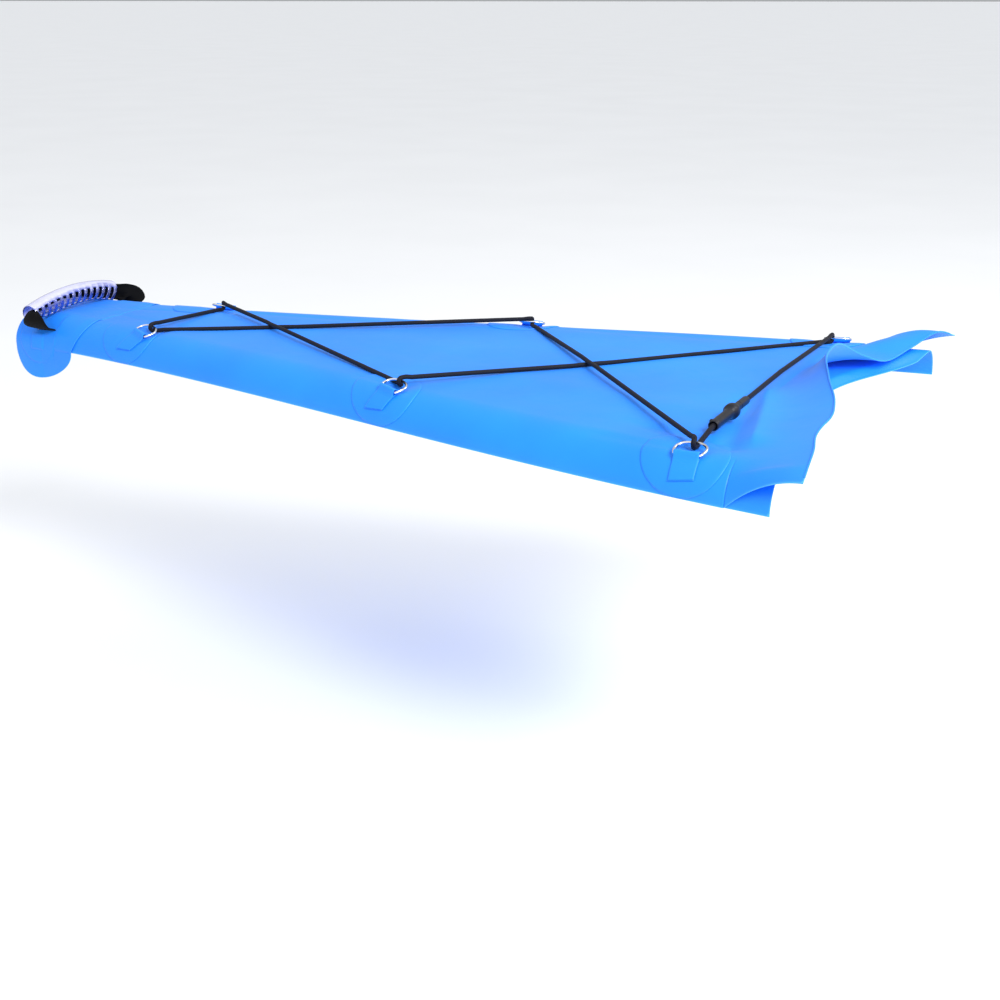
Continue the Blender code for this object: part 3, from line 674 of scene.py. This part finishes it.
def rear_underlay():
    """The second sheet: glued round the shoulders, sagging between them, its aft edge turned down."""
    drop = -FABRIC - GLUE_GAP
    rows = []
    for t in spread(0.0, 1.0, 40):
        row = []
        for side, share, girth in COLUMNS:
            aft = mix(UNDERLAY_MID_X, UNDERLAY_AFT_X[side], share ** 3)
            x = mix(UNDERLAY_FORE_X, aft, t)
            if girth > 0:
                row.append(tube_point(side, x, girth, drop))
                continue
            slack = (0.7 + 0.3 * share ** 2) * (1 - share ** 8)
            lip = 0.009 * smooth((t - 0.84) / 0.16) * smooth(slack * 3)
            sag = UNDERLAY_SAG * slack * t
            y = side * share * half_breadth(x)
            row.append(Vector((x, y, crown_z(x) + drop - sag - lip)))
        rows.append(row)
    piece = grid_piece("rear_underlay_sheet", rows, BLUE, FABRIC)
    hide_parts("rear_underlay")
    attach(piece, "deck")
    return piece


underlay = rear_underlay()


# ---- bow cap ----
def nose_frame(along):
    """Crown line and outward direction at a distance aft of the nose line, or round the nose if negative."""
    if along >= 0:
        x = NOSE_X + along
        return Vector((x, half_breadth(x), 0.0)), Vector((0.0, 1.0, 0.0))
    wide = half_breadth(NOSE_X) + TUBE_R
    angle, walked, step = 0.0, 0.0, 0.002
    while walked < -along:
        angle += step
        stride = step * hypot(NOSE_LENGTH * cos(angle), wide * sin(angle))
        walked += stride
    angle -= step * (walked + along) / stride
    wall = Vector((NOSE_X - NOSE_LENGTH * sin(angle), wide * cos(angle), 0.0))
    out = Vector((-sin(angle) / NOSE_LENGTH, cos(angle) / wide, 0.0)).normalized()
    return wall - out * TUBE_R, out


def nose_point(side, along, girth, height):
    """Point on the cap: round the shoulder, then straight down the ear."""
    crown, out = nose_frame(along)
    if girth <= SHOULDER:
        angle = girth / TUBE_R
        reach = (TUBE_R + height) * sin(angle)
        rise = (TUBE_R + height) * cos(angle) - TUBE_R
    else:
        reach = TUBE_R + height
        rise = -TUBE_R - (girth - SHOULDER)
    point = crown + out * reach
    return Vector((point.x, side * point.y, crown_z(point.x) + rise))


EAR_MIDDLE = CAP_AFT_X - NOSE_X - EAR_HALF_LENGTH
CAP_HEIGHT = 0.0018
SLOT_ALONG = SLOT_X - NOSE_X
TAIL_ALONG, TAIL_HALF, TAIL_END_GIRTH = -0.008, 0.0135, 0.0785
UNDER_PATCH_GIRTH, UNDER_PATCH_R = 0.0595, 0.0425
TAIL_PRINT, PATCH_PRINT, BAND_PRINT = 0.0014, 0.0015, 0.0011


def print_through(along, girth):
    """Height of the webbing tail, its round patch and the band's edge showing through the ear."""
    across = smooth((TAIL_HALF - abs(along - TAIL_ALONG)) / 0.0016)
    tail = across * smooth((TAIL_END_GIRTH - girth) / 0.0016) * smooth((girth - 0.05) / 0.006)
    far = hypot(along - TAIL_ALONG, girth - UNDER_PATCH_GIRTH)
    patch = smooth((UNDER_PATCH_R - far) / 0.0018) * smooth((girth - 0.045) / 0.02)
    band = smooth((SHOULDER + 0.0005 - girth) / 0.0016) * smooth((along - 0.03) / 0.004)
    return TAIL_PRINT * tail + PATCH_PRINT * patch + BAND_PRINT * band


def cap_sway(x, y):
    return 0.001 * noise.noise(Vector((x * 20, y * 4, 2.0)))


def cap_half(side):
    """Rows of one half of the cap, from aft to fore, each from the middle to the ear's rim."""
    rows = []
    for turn in spread(0.0, pi - 0.15, 120):
        along = EAR_MIDDLE + EAR_HALF_LENGTH * cos(turn)
        drop = 0.0006 + EAR_DROP * sin(turn - EAR_SKEW * sin(turn))
        lean = AFT_LEAN * max(0.0, cos(turn)) ** 6
        edge = smooth((cos(turn) - 0.9) / 0.09)
        crown, out = nose_frame(along + lean)
        follow = smooth((crown.x - CAP_AFT_X - AFT_LEAN + 0.06) / 0.05)
        row = []
        for share in spread(0.0, 1.0, 12)[:-1]:
            y = side * crown.y * share
            sway = mix(cap_sway(crown.x, side * share), settle(crown.x, y), follow)
            rise = CAP_HEIGHT + sway - CAP_STEP * edge
            row.append(Vector((crown.x, y, crown_z(crown.x) + rise)))
        for girth in spread(0.0, SHOULDER, 48):
            here = along + lean * cos(girth / TUBE_R)
            rise = CAP_HEIGHT + print_through(here, girth) - CAP_STEP * edge * smooth(1.5 - girth / 0.05)
            point = nose_point(side, here, girth, rise)
            sway = mix(cap_sway(point.x, side), settle(point.x, point.y), follow)
            point.z += sway * smooth(1.4 - girth / 0.03)
            row.append(point)
        for share in spread(0.0, 1.0, 32)[1:]:
            girth = SHOULDER + drop * share
            row.append(nose_point(side, along, girth, CAP_HEIGHT + print_through(along, girth)))
        rows.append(row)
    return rows


SLOT_CUT = (0.041, 0.0032, 0.016, 1.0)     # length, width and depth of the cut


def bow_cap():
    rows = [port[::-1] + starboard[1:] for port, starboard in zip(cap_half(PORT), cap_half(STARBOARD))]
    piece = grid_piece("bow_cap_sheet", rows, BLUE, FABRIC)
    for side in (PORT, STARBOARD):
        bpy.ops.mesh.primitive_cube_add(size=1.0)
        cutter = bpy.context.object
        point = nose_point(side, SLOT_ALONG + 0.001, SLOT_ANGLE * TUBE_R, 0.001)
        turn = Matrix.Rotation(-side * SLOT_ANGLE, 4, "X")
        cutter.matrix_world = Matrix.Translation(point) @ turn @ Matrix.Diagonal(SLOT_CUT)
        cut = piece.modifiers.new("Slot", "BOOLEAN")
        cut.operation = "DIFFERENCE"
        cut.solver = "EXACT"
        cut.object = cutter
        apply_all(piece)
        bpy.data.objects.remove(cutter, do_unlink=True)
    piece.data.shade_smooth()
    piece.data.set_sharp_from_angle(angle=radians(45))
    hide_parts("bow_cap")
    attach(piece, "deck")
    return piece


cap = bow_cap()

# ---- D-ring patches, tabs and rings ----
PATCH_R, PATCH_THICK, PATCH_GIRTH = 0.055, 0.0009, 0.02
TAB_END_GIRTH, TAB_WIDTH = 0.055, 0.032
STRAP_LOW, STRAP_THICK = 0.0022, 0.001


def ring_patch(side, pair, label):
    """Round patch following the sheet below, its edge worked down all round."""
    x, _, patch_forward = ring_station(side, pair)
    centre = x - patch_forward
    bm = bmesh.new()
    rim = bm.verts.layers.float.new("rim")

    def at(radius, turn, height):
        along, girth = radius * cos(turn), PATCH_GIRTH + radius * sin(turn)
        if girth > 0:
            return cover_point(side, 1.0, girth, centre + along, height)
        here = centre + along
        share = 1 + girth / half_breadth(here)
        return cover_point(side, share, 0.0, here, height)

    top = GLUE_GAP + PATCH_THICK
    profile = [(share, top) for share in (0.25, 0.45, 0.62, 0.76, 0.87, 0.95)]
    profile += [(0.985, top - 0.0001), (1.0, top - 0.0006), (1.0, 0.0002), (0.9, 0.0002)]
    middle = bm.verts.new(at(0.0, 0.0, top))
    steps = 72
    rings = []
    for share, height in profile:
        ring = []
        for turn in turns_of(steps):
            vert = bm.verts.new(at(share * PATCH_R, turn, height))
            # rim weight here sets the painted edge highlight on the patch's outer edge
            vert[rim] = 0.8 if share > 0.99 else 0.0
            ring.append(vert)
        rings.append(ring)
    for k in range(steps):
        n = (k + 1) % steps
        bm.faces.new((middle, rings[0][k], rings[0][n]))
        for low, high in zip(rings, rings[1:]):
            bm.faces.new((low[k], high[k], high[n], low[n]))
    bmesh.ops.recalc_face_normals(bm, faces=bm.faces)
    if middle.normal.z < 0:
        bmesh.ops.reverse_faces(bm, faces=bm.faces)
    piece = smoothed(object_from(bm, f"patch_{label}"), BLUE)
    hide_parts(f"dring_patch_{label}")
    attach(piece, "deck")


def strap_path():
    """Middle line of a tab, seen end on: out under the bar, round it and back."""
    tail = TAB_END_GIRTH - BAR_GIRTH
    loop_r = BAR_LIFT - STRAP_LOW
    path = [(-v, STRAP_LOW) for v in spread(tail, 0.0, 14)]
    for turn in spread(0.0, radians(195), 20)[1:]:
        path.append((loop_r * sin(turn), BAR_LIFT - loop_r * cos(turn)))
    upper = STRAP_LOW + STRAP_THICK + 0.0001
    path.append((-0.0036, upper + 0.0026))
    path.append((-0.0062, upper + 0.0008))
    path += [(-v, upper) for v in spread(0.009, tail - 0.0012, 12)]
    return path


def ring_tab(side, pair, label):
    """The strap tab, folded round the bar and glued flat below it."""
    x, skew, _ = ring_station(side, pair)
    end_skew, end_forward = TAB_ENDS[pair]
    per_metre = 1 / hypot(1.0, breadth_slope(x))
    bar_frame = ring_frame(side, pair)

    def at(width, inboard, height):
        share = max(0.0, -inboard / (TAB_END_GIRTH - BAR_GIRTH))
        turn = mix(skew, end_skew, share)
        along = width * cos(turn) + inboard * sin(skew) - end_forward * share
        girth = BAR_GIRTH + width * sin(turn) - inboard * cos(skew)
        lying = cover_point(side, 1.0, max(girth, 0.0001), x + along * per_metre, height)
        standing = bar_frame @ Vector((-side * width, inboard, height - BAR_LIFT))
        return lying.lerp(standing, smooth((inboard + 0.009) / 0.006))

    path = strap_path()
    widths = [TAB_WIDTH / 2 * w for w in (-1.0, -0.97, -0.85, -0.6, -0.3, 0.0, 0.3, 0.6, 0.85, 0.97, 1.0)]
    bm = bmesh.new()
    rim = bm.verts.layers.float.new("rim")
    sections = []
    for i, (inboard, height) in enumerate(path):
        before = Vector(path[max(i - 1, 0)])
        ahead = (Vector(path[min(i + 1, len(path) - 1)]) - before).normalized()
        section = []
        for sign, order in ((-1, widths), (1, widths[::-1])):
            for width in order:
                edge = abs(width) / (TAB_WIDTH / 2)
                half = STRAP_THICK / 2 * (0.45 if edge == 1.0 else 1.0)
                across = Vector((-ahead.y, ahead.x)) * half * sign
                vert = bm.verts.new(at(width, inboard + across.x, height + across.y))
                # rim weight here sets the painted edge highlight along the tab's sides
                vert[rim] = 0.6 if edge > 0.96 else 0.0
                section.append(vert)
        sections.append(section)
    skin(bm, sections)
    piece = closed_piece(bm, f"tab_{label}", BLUE, 60)
    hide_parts(f"dring_tab_{label}")
    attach(piece, "deck")


def ring_wire(side, pair, label):
    """The D-ring: a straight bar inside the tab and a round bow."""
    place = ring_frame(side, pair) @ Matrix.Rotation(RING_TILT, 4, "X")
    loop = [Vector((x, 0.0, 0.0)) for x in spread(-RING_BAR_HALF, RING_BAR_HALF, 8)]
    for a in spread(-24.0, 204.0, 52):
        turn = radians(a)
        x = RING_HALF_WIDTH * copysign(abs(cos(turn)) ** 0.8, cos(turn))
        y = RING_DEPTH * 0.45 + RING_DEPTH * 0.55 * sin(turn)
        if a < 0 or a > 180:
            y = RING_DEPTH * 0.45 * (1 + 1.9 * sin(turn))
        loop.append(Vector((x, y, 0.0)))
    piece = tube_piece(f"ring_wire_{label}", [place @ p for p in loop], RING_WIRE_R, STEEL, 16, closed=True)
    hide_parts(f"dring_{label}")
    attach(piece, f"ring_{label}")


def ring_label(side, pair):
    return f"{pair}_{'port' if side == PORT else 'starboard'}"


for side, pair in PAIRS:
    label = ring_label(side, pair)
    ring_patch(side, pair, label)
    ring_tab(side, pair, label)
    ring_wire(side, pair, label)

# ---- shock cord ----
WRAP_R = RING_WIRE_R + CORD_R + 0.0004
CONNECTOR_Y, CONNECTOR_LENGTH, CONNECTOR_RISE = -0.234, 0.127, 0.0112
MOUTH = Vector((0.0, CONNECTOR_Y, crown_z(0.0) + CONNECTOR_RISE))
TAIL = MOUTH + Vector((0.0, CONNECTOR_LENGTH, 0.0))
LACING = [
    (PORT, "rear"), (STARBOARD, "middle"), (PORT, "bow"),
    (STARBOARD, "bow"), (PORT, "middle"), (STARBOARD, "rear"),
]
CROSS_LIFT = 0.0034
# leg number: the leg it crosses, and how far it lifts there
CROSSINGS = {0: (4, CROSS_LIFT), 4: (0, -CROSS_LIFT), 3: (1, CROSS_LIFT), 1: (3, -CROSS_LIFT)}
KNOT_INSIDE = Vector((0.0, 0.0265, 0.0))
CORD_SPLIT = Vector((0.0, 0.045, TAIL.z + 0.0012))


def turn_points(side, pair, before, after):
    """The cord's turn round a ring's bow: in below the wire, round it, and out above it."""
    bow = ring_bow(side, pair)
    come = (before - bow).to_2d().normalized().to_3d()
    leave = (after - bow).to_2d().normalized().to_3d()
    inboard = ring_frame(side, pair).col[1].to_2d().normalized().to_3d()
    out = inboard * -WRAP_R
    up = Vector((0.0, 0.0, WRAP_R))
    knots = [
        bow + come * 0.014 - up * 0.8,
        bow + come * 0.003 - up,
        bow + (out - up) * 0.72,
        bow + out,
        bow + (out + up) * 0.72,
        bow + leave * 0.003 + up,
        bow + leave * 0.014 + up * 0.8,
    ]
    return curve_through(knots, 0.0016)


def meeting(a, b, c, d):
    """How far along a-b the line c-d crosses it, seen from above."""
    r = (b - a).to_2d()
    s = (d - c).to_2d()
    return (c - a).to_2d().cross(s) / r.cross(s)


def cord_route():
    """The cord's middle line: from the socket's knot, round six rings, to the plug's knot."""
    bows = [ring_bow(side, pair) for side, pair in LACING]
    stops = [MOUTH, *bows, TAIL]
    turns = [turn_points(*ring, before, after) for ring, before, after in zip(LACING, stops, stops[2:])]
    route = [MOUTH + KNOT_INSIDE, MOUTH]
    for i, turn in enumerate(turns):
        route += turn
        if i in CROSSINGS:
            other, lift = CROSSINGS[i]
            share = meeting(bows[i], bows[i + 1], bows[other], bows[other + 1])
            other_share = meeting(bows[other], bows[other + 1], bows[i], bows[i + 1])
            start, end = turn[-1], turns[i + 1][0]
            level = mix(start.z, end.z, share)
            level += mix(turns[other][-1].z, turns[other + 1][0].z, other_share)
            over = start.lerp(end, share)
            over.z = level / 2 + lift
            for ahead in (-0.6, -0.25, -0.1, -0.03, 0.0, 0.03, 0.1, 0.25, 0.6):
                leg = end if ahead > 0 else start
                point = over.lerp(leg, abs(ahead))
                point.z -= 0.25 * lift * max(0.0, 1 - abs(ahead) / 0.1)
                route.append(point)
    route += [TAIL, TAIL - KNOT_INSIDE]
    return route


def cut_at(points, level):
    """Splits a run of points wherever it crosses y = level."""
    runs = [[points[0]]]
    for a, b in zip(points, points[1:]):
        if (a.y - level) * (b.y - level) < 0:
            middle = a.lerp(b, (level - a.y) / (b.y - a.y))
            runs[-1].append(middle)
            runs.append([middle])
        runs[-1].append(b)
    return runs


def filled(points, longest):
    dense = []
    for a, b in zip(points, points[1:]):
        count = max(1, ceil((b - a).length / longest))
        dense += [a.lerp(b, i / count) for i in range(count)]
    dense.append(points[-1])
    return dense


cord_line = cord_route()
plug_run = [CORD_SPLIT + Vector((0.0, 0.002, 0.0)), *cord_line[-2:]]
for (side, pair), run in zip(LACING, cut_at(cord_line[:-2] + [CORD_SPLIT], 0.0)):
    label = ring_label(side, pair)
    piece = tube_piece(f"cord_{label}", filled(run, 0.008), CORD_R, BRAID, 14)
    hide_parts("shock_cord")
    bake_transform(piece)
plug_cord = tube_piece("cord_into_plug", filled(plug_run, 0.006), CORD_R, BRAID, 14)
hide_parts("shock_cord")
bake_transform(plug_cord)

# ---- connector ----
ALONG_Y = Matrix.Translation(MOUTH) @ Matrix.Rotation(radians(-90), 4, "X")


def turned_piece(name, profile):
    """A piece turned about the connector's axis, from (distance from its mouth, radius) pairs."""
    bm = bmesh.new()
    rings = []
    for along, radius in profile:
        ring = [Vector((radius * cos(turn), radius * sin(turn), along)) for turn in turns_of(40)]
        rings.append([bm.verts.new(ALONG_Y @ point) for point in ring])
    skin(bm, rings)
    return closed_piece(bm, name, PLASTIC, 30)


socket = turned_piece("socket_barrel", [
    (0.03, 0.0005), (0.03, 0.0054), (0.012, 0.0054), (0.012, 0.0041), (0.0012, 0.0043), (0.0003, 0.005),
    (0.0, 0.0056), (0.0003, 0.0063), (0.001, 0.0066), (0.0048, 0.0066), (0.0052, 0.0063), (0.0056, 0.0066),
    (0.056, 0.0066), (0.06, 0.0074), (0.063, 0.009), (0.0645, 0.0098), (0.066, 0.0102),
    (0.0725, 0.0102), (0.0742, 0.0098), (0.0752, 0.0088), (0.0755, 0.007), (0.0755, 0.0046), (0.052, 0.0046),
    (0.052, 0.0005),
])
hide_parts("connector_socket")
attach(socket, "deck")
plug = turned_piece("plug_body", [
    (0.0525, 0.0005), (0.0525, 0.0038), (0.0535, 0.0042), (0.076, 0.0042), (0.076, 0.0078), (0.0765, 0.0084),
    (0.079, 0.0084), (0.08, 0.008), (0.0812, 0.0066), (0.083, 0.0058), (0.085, 0.0056), (0.095, 0.0056),
    (0.0954, 0.0053), (0.0962, 0.0053), (0.0966, 0.0056), (0.124, 0.0056), (0.1262, 0.0053), (0.127, 0.0047),
    (0.1266, 0.0041), (0.115, 0.0041), (0.115, 0.0049), (0.098, 0.0049), (0.098, 0.0005),
])
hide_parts("connector_plug")
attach(plug, "plug")

NUB_PLACE = (-0.0048, -0.0042, 0.0065)
NUB_R, NUB_RISE, NUB_STRETCH = 0.0024, 0.002, 1.6


def nub():
    """Small oval catch on the barrel beside its mouth."""
    place = ALONG_Y @ Matrix.Translation(NUB_PLACE)
    out = Vector((-0.753, -0.658, 0.0))
    flat = Vector((0.658, -0.753, 0.0))
    long = Vector((0.0, 0.0, NUB_STRETCH))
    rows = []
    for lat in spread(0.0, 90.0, 6):
        row = []
        r = NUB_R * cos(radians(lat))
        lift = NUB_RISE * sin(radians(lat))
        for lon in spread(0.0, 360.0, 16)[:-1]:
            turn = radians(lon)
            row.append(place @ (flat * (r * cos(turn)) + long * (r * sin(turn)) + out * lift))
        rows.append(row)
    piece = grid_piece("socket_nub", rows, PLASTIC, closed=True)
    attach(piece, "deck")


nub()
AS_MODELLED = {"handle_patch_port": BLUE, "handle_patch_starboard": BLUE, "cord_knot_socket": BRAID,
               "cord_knot_plug": BRAID}
for name, look in AS_MODELLED.items():
    recoat(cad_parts[name], look)


# ---- carry handle ----
def handle_height(y):
    """Height of the handle's middle line, which is bowed up over the cap."""
    return 0.0115 - 0.014 * (y / 0.1) ** 2


def strap_end(side, outside):
    """Stations of one end, from its glued tail out through the slot: places and half-widths."""
    stations = []
    for girth, half in ((0.098, 0.015), (0.075, 0.015), (0.06, 0.0195)):
        stations.append(Vector((*nose_point(side, SLOT_ALONG, girth, -0.0048), half)))
    slot = nose_point(side, SLOT_ALONG, SLOT_ANGLE * TUBE_R, -0.0042)
    normal = Vector((0.0, side * sin(SLOT_ANGLE), cos(SLOT_ANGLE)))
    for out, half in ((0.0015, 0.0206), (0.0075, 0.0225)):
        stations.append(Vector((*(slot + normal * out), half)))
    return stations + [Vector(station) for station in outside]


WEBBING_HALF, WEBBING_THICK = 0.019, 0.0024
SLOTS = [nose_point(side, SLOT_ALONG, SLOT_ANGLE * TUBE_R, 0.0) for side in (PORT, STARBOARD)]


def strap_twist(point):
    """The webbing stands on edge in the starboard half of the grip and just outside it."""
    return radians(78) * smooth((point.y + 0.05) / 0.05) * smooth((point.z + 0.019) / 0.016)


def handle_webbing():
    """Flat webbing from slot to slot, gathered into the grip; outside it, it stands folded."""
    stations = strap_end(PORT, [
        (-1.187, -0.11, -0.0225, 0.025),
        (-1.185, -0.1165, -0.0125, 0.0225),
        (-1.184, -0.1165, -0.0035, 0.017),
        (-1.189, -0.111, 0.001, 0.0115),
    ])
    for y in spread(GRIP_PORT_Y + 0.01, GRIP_STARBOARD_Y - 0.006, 10):
        share = smooth(y / 0.05)
        height = handle_height(y) + mix(0.002, -0.002, share)
        stations.append(Vector((HANDLE_X, y, height, mix(0.0095, 0.013, share))))
    stations += strap_end(STARBOARD, [
        (-1.172, 0.101, -0.017, 0.025),
        (-1.17, 0.1015, -0.01, 0.0225),
        (-1.177, 0.097, -0.004, 0.0165),
        (-1.189, 0.0885, -0.002, 0.014),
    ])[::-1]
    route = curve_through(stations, 0.0025)
    around = [(1, w) for w in spread(-1.0, 1.0, 14)] + [(-1, w) for w in spread(1.0, -1.0, 14)]
    bm = bmesh.new()
    uv = bm.loops.layers.uv.new("UVMap")
    sections = []
    lengths = [0.0]
    for i, station in enumerate(route):
        middle, half = station.resized(3), station.w
        ahead = (route[min(i + 1, len(route) - 1)] - route[max(i - 1, 0)]).resized(3)
        ahead.x = 0.0
        ahead.normalize()
        twist = strap_twist(middle)
        lying = Vector((1.0, 0.0, 0.0))
        across = lying * cos(twist) + lying.cross(ahead) * sin(twist)
        flat = ahead.cross(across)
        gathered = smooth((0.022 - half) / 0.01)
        clear = smooth((min((middle - slot).length for slot in SLOTS) - 0.003) / 0.01)
        section = []
        for sign, w in around:
            thick = WEBBING_THICK / 2 * (0.4 if abs(w) == 1.0 else 1.0)
            wave = 0.0011 * sin(w * 6.0 + 0.6)
            hollow = 0.0016 * (w * w - 0.5)
            curl = wave * gathered + hollow * (1 - gathered)
            section.append(bm.verts.new(middle + across * (w * half) + flat * (thick * sign + curl * clear)))
        sections.append(section)
        if i:
            lengths.append(lengths[-1] + (middle - route[i - 1].resized(3)).length)
    us = [w * WEBBING_HALF for sign, w in around]
    skin(bm, sections, mapped=(uv, us + us[:1], lengths))
    piece = closed_piece(bm, "webbing_strap", WEBBING, 50)
    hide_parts("handle_webbing")
    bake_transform(piece)


handle_webbing()

GRIP_HALF_WIDTH, GRIP_TOP, GRIP_WALL = 0.0154, 0.0158, 0.0022
RIBS, RIB_ROWS, OPEN_ROWS = 13, 6, 3
WINDOW_LOW, WINDOW_HIGH = radians(-48), radians(30)


def grip_middle(y):
    """Middle of the sleeve's section and its half-height, which grows toward the starboard end."""
    half = mix(0.0132, 0.017, smooth((y - GRIP_PORT_Y) / 0.05))
    half += 0.0018 * smooth((y - 0.04) / 0.035)
    return Vector((HANDLE_X, y, handle_height(y) + GRIP_TOP - half)), half


def grip_shell():
    """Clear sleeve, open along its underside, with windows between raised ribs on its aft face."""
    turns = [radians(a) for a in spread(-64.0, 244.0, 54)]
    count = RIBS * RIB_ROWS + RIB_ROWS - OPEN_ROWS
    bm = bmesh.new()
    grid = []
    for j, y in enumerate(spread(GRIP_PORT_Y, GRIP_STARBOARD_Y, count)):
        middle, half = grip_middle(y)
        slope = (handle_height(y + 0.001) - handle_height(y - 0.001)) / 0.002
        lean = Vector((0.0, 1.0, slope)).normalized()
        up = Vector((0.0, -lean.z, lean.y))
        row = []
        on_rib = j % RIB_ROWS in (1, 2)
        for turn in turns:
            face = smooth((turn - WINDOW_LOW + 0.3) / 0.3) * smooth((WINDOW_HIGH + 0.6 - turn) / 0.5)
            rise = 0.0009 * face if on_rib else 0.0
            slant = lean * (0.0035 * sin(turn))
            across = Vector((cos(turn), 0.0, 0.0)) * (GRIP_HALF_WIDTH - GRIP_WALL / 2 + rise)
            upward = up * sin(turn) * (half - GRIP_WALL / 2 + rise)
            row.append(bm.verts.new(middle + slant + across + upward))
        grid.append(row)
    for j, (low, high) in enumerate(zip(grid, grid[1:])):
        is_open = j % RIB_ROWS >= RIB_ROWS - OPEN_ROWS
        for i in range(len(turns) - 1):
            turn = (turns[i] + turns[i + 1]) / 2
            if is_open and WINDOW_LOW < turn < WINDOW_HIGH:
                continue
            bm.faces.new((low[i], low[i + 1], high[i + 1], high[i]))
    piece = object_from(bm, "grip_sleeve")
    solid = piece.modifiers.new("Wall", "SOLIDIFY")
    solid.thickness = GRIP_WALL
    solid.offset = 0.0
    smoothing = piece.modifiers.new("Smooth", "SUBSURF")
    smoothing.levels = 1
    smoothing.render_levels = 1
    apply_all(piece)
    smoothed(piece, VINYL)
    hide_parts("handle_grip")
    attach(piece, "handle")


grip_shell()

# ---- floor, light and camera ----
FLOOR_Z = -0.55
AIM = Vector((-0.4, 0.0, 0.0))
BRIGHT_SIDE = (0.55, -0.6, 0.58)


def studio():
    """Plain pale floor, a sky brighter on the near aft side, and two soft lamps."""
    bpy.ops.mesh.primitive_plane_add(size=400.0, location=(0.0, 0.0, FLOOR_Z))
    floor = bpy.context.object
    floor.name = "studio_floor"
    look, tree, shader = nodes_of("pale_floor")
    stops = [(0.3, (0.86, 0.865, 0.87)), (0.7, (0.88, 0.885, 0.89))]
    colour = ramp(noise_of(coordinates(tree), 1.5), stops)
    fed(shader, {"Base Color": colour, "Roughness": 0.9})
    floor.data.materials.append(look)
    world = bpy.data.worlds.new("studio")
    world.use_nodes = True
    tree = world.node_tree
    toward = tree.nodes.new("ShaderNodeVectorMath")
    toward.operation = "DOT_PRODUCT"
    share = fed(toward, {0: coordinates(tree, "Generated"), 1: BRIGHT_SIDE}, "Value")
    strength = ranged(share, 0.42, 1.25, start=-0.7)
    fed(tree.nodes["Background"], {"Color": (0.95, 0.97, 1.0), "Strength": strength})
    bpy.context.scene.world = world
    for name, place, size, energy in (
        ("key", (2.6, -2.0, 2.8), 1.5, 185.0),
        ("fill", (2.6, 1.8, 3.0), 2.0, 50.0),
    ):
        lamp = bpy.data.lights.new(name, "AREA")
        lamp.energy = energy
        lamp.size = size
        holder = bpy.data.objects.new(name, lamp)
        holder.location = place
        holder.rotation_euler = (AIM - Vector(place)).to_track_quat("-Z", "Y").to_euler()
        bpy.context.scene.collection.objects.link(holder)


def camera():
    """Three-quarter view from the near aft side."""
    data = bpy.data.cameras.new("camera")
    data.lens = 51.2
    data.clip_start = 0.05
    data.clip_end = 100.0
    holder = bpy.data.objects.new("camera", data)
    right = Vector((0.8918221, 0.4523858, 0.0005661))
    back = Vector((0.4252296, -0.8387127, 0.340207))
    up = back.cross(right)
    turn = Matrix((right, up, back)).transposed().to_4x4()
    holder.matrix_world = Matrix.Translation((0.50431, -1.7863, 0.49689)) @ turn
    bpy.context.scene.collection.objects.link(holder)
    bpy.context.scene.camera = holder


studio()
camera()
bpy.context.scene.view_settings.view_transform = "Standard"
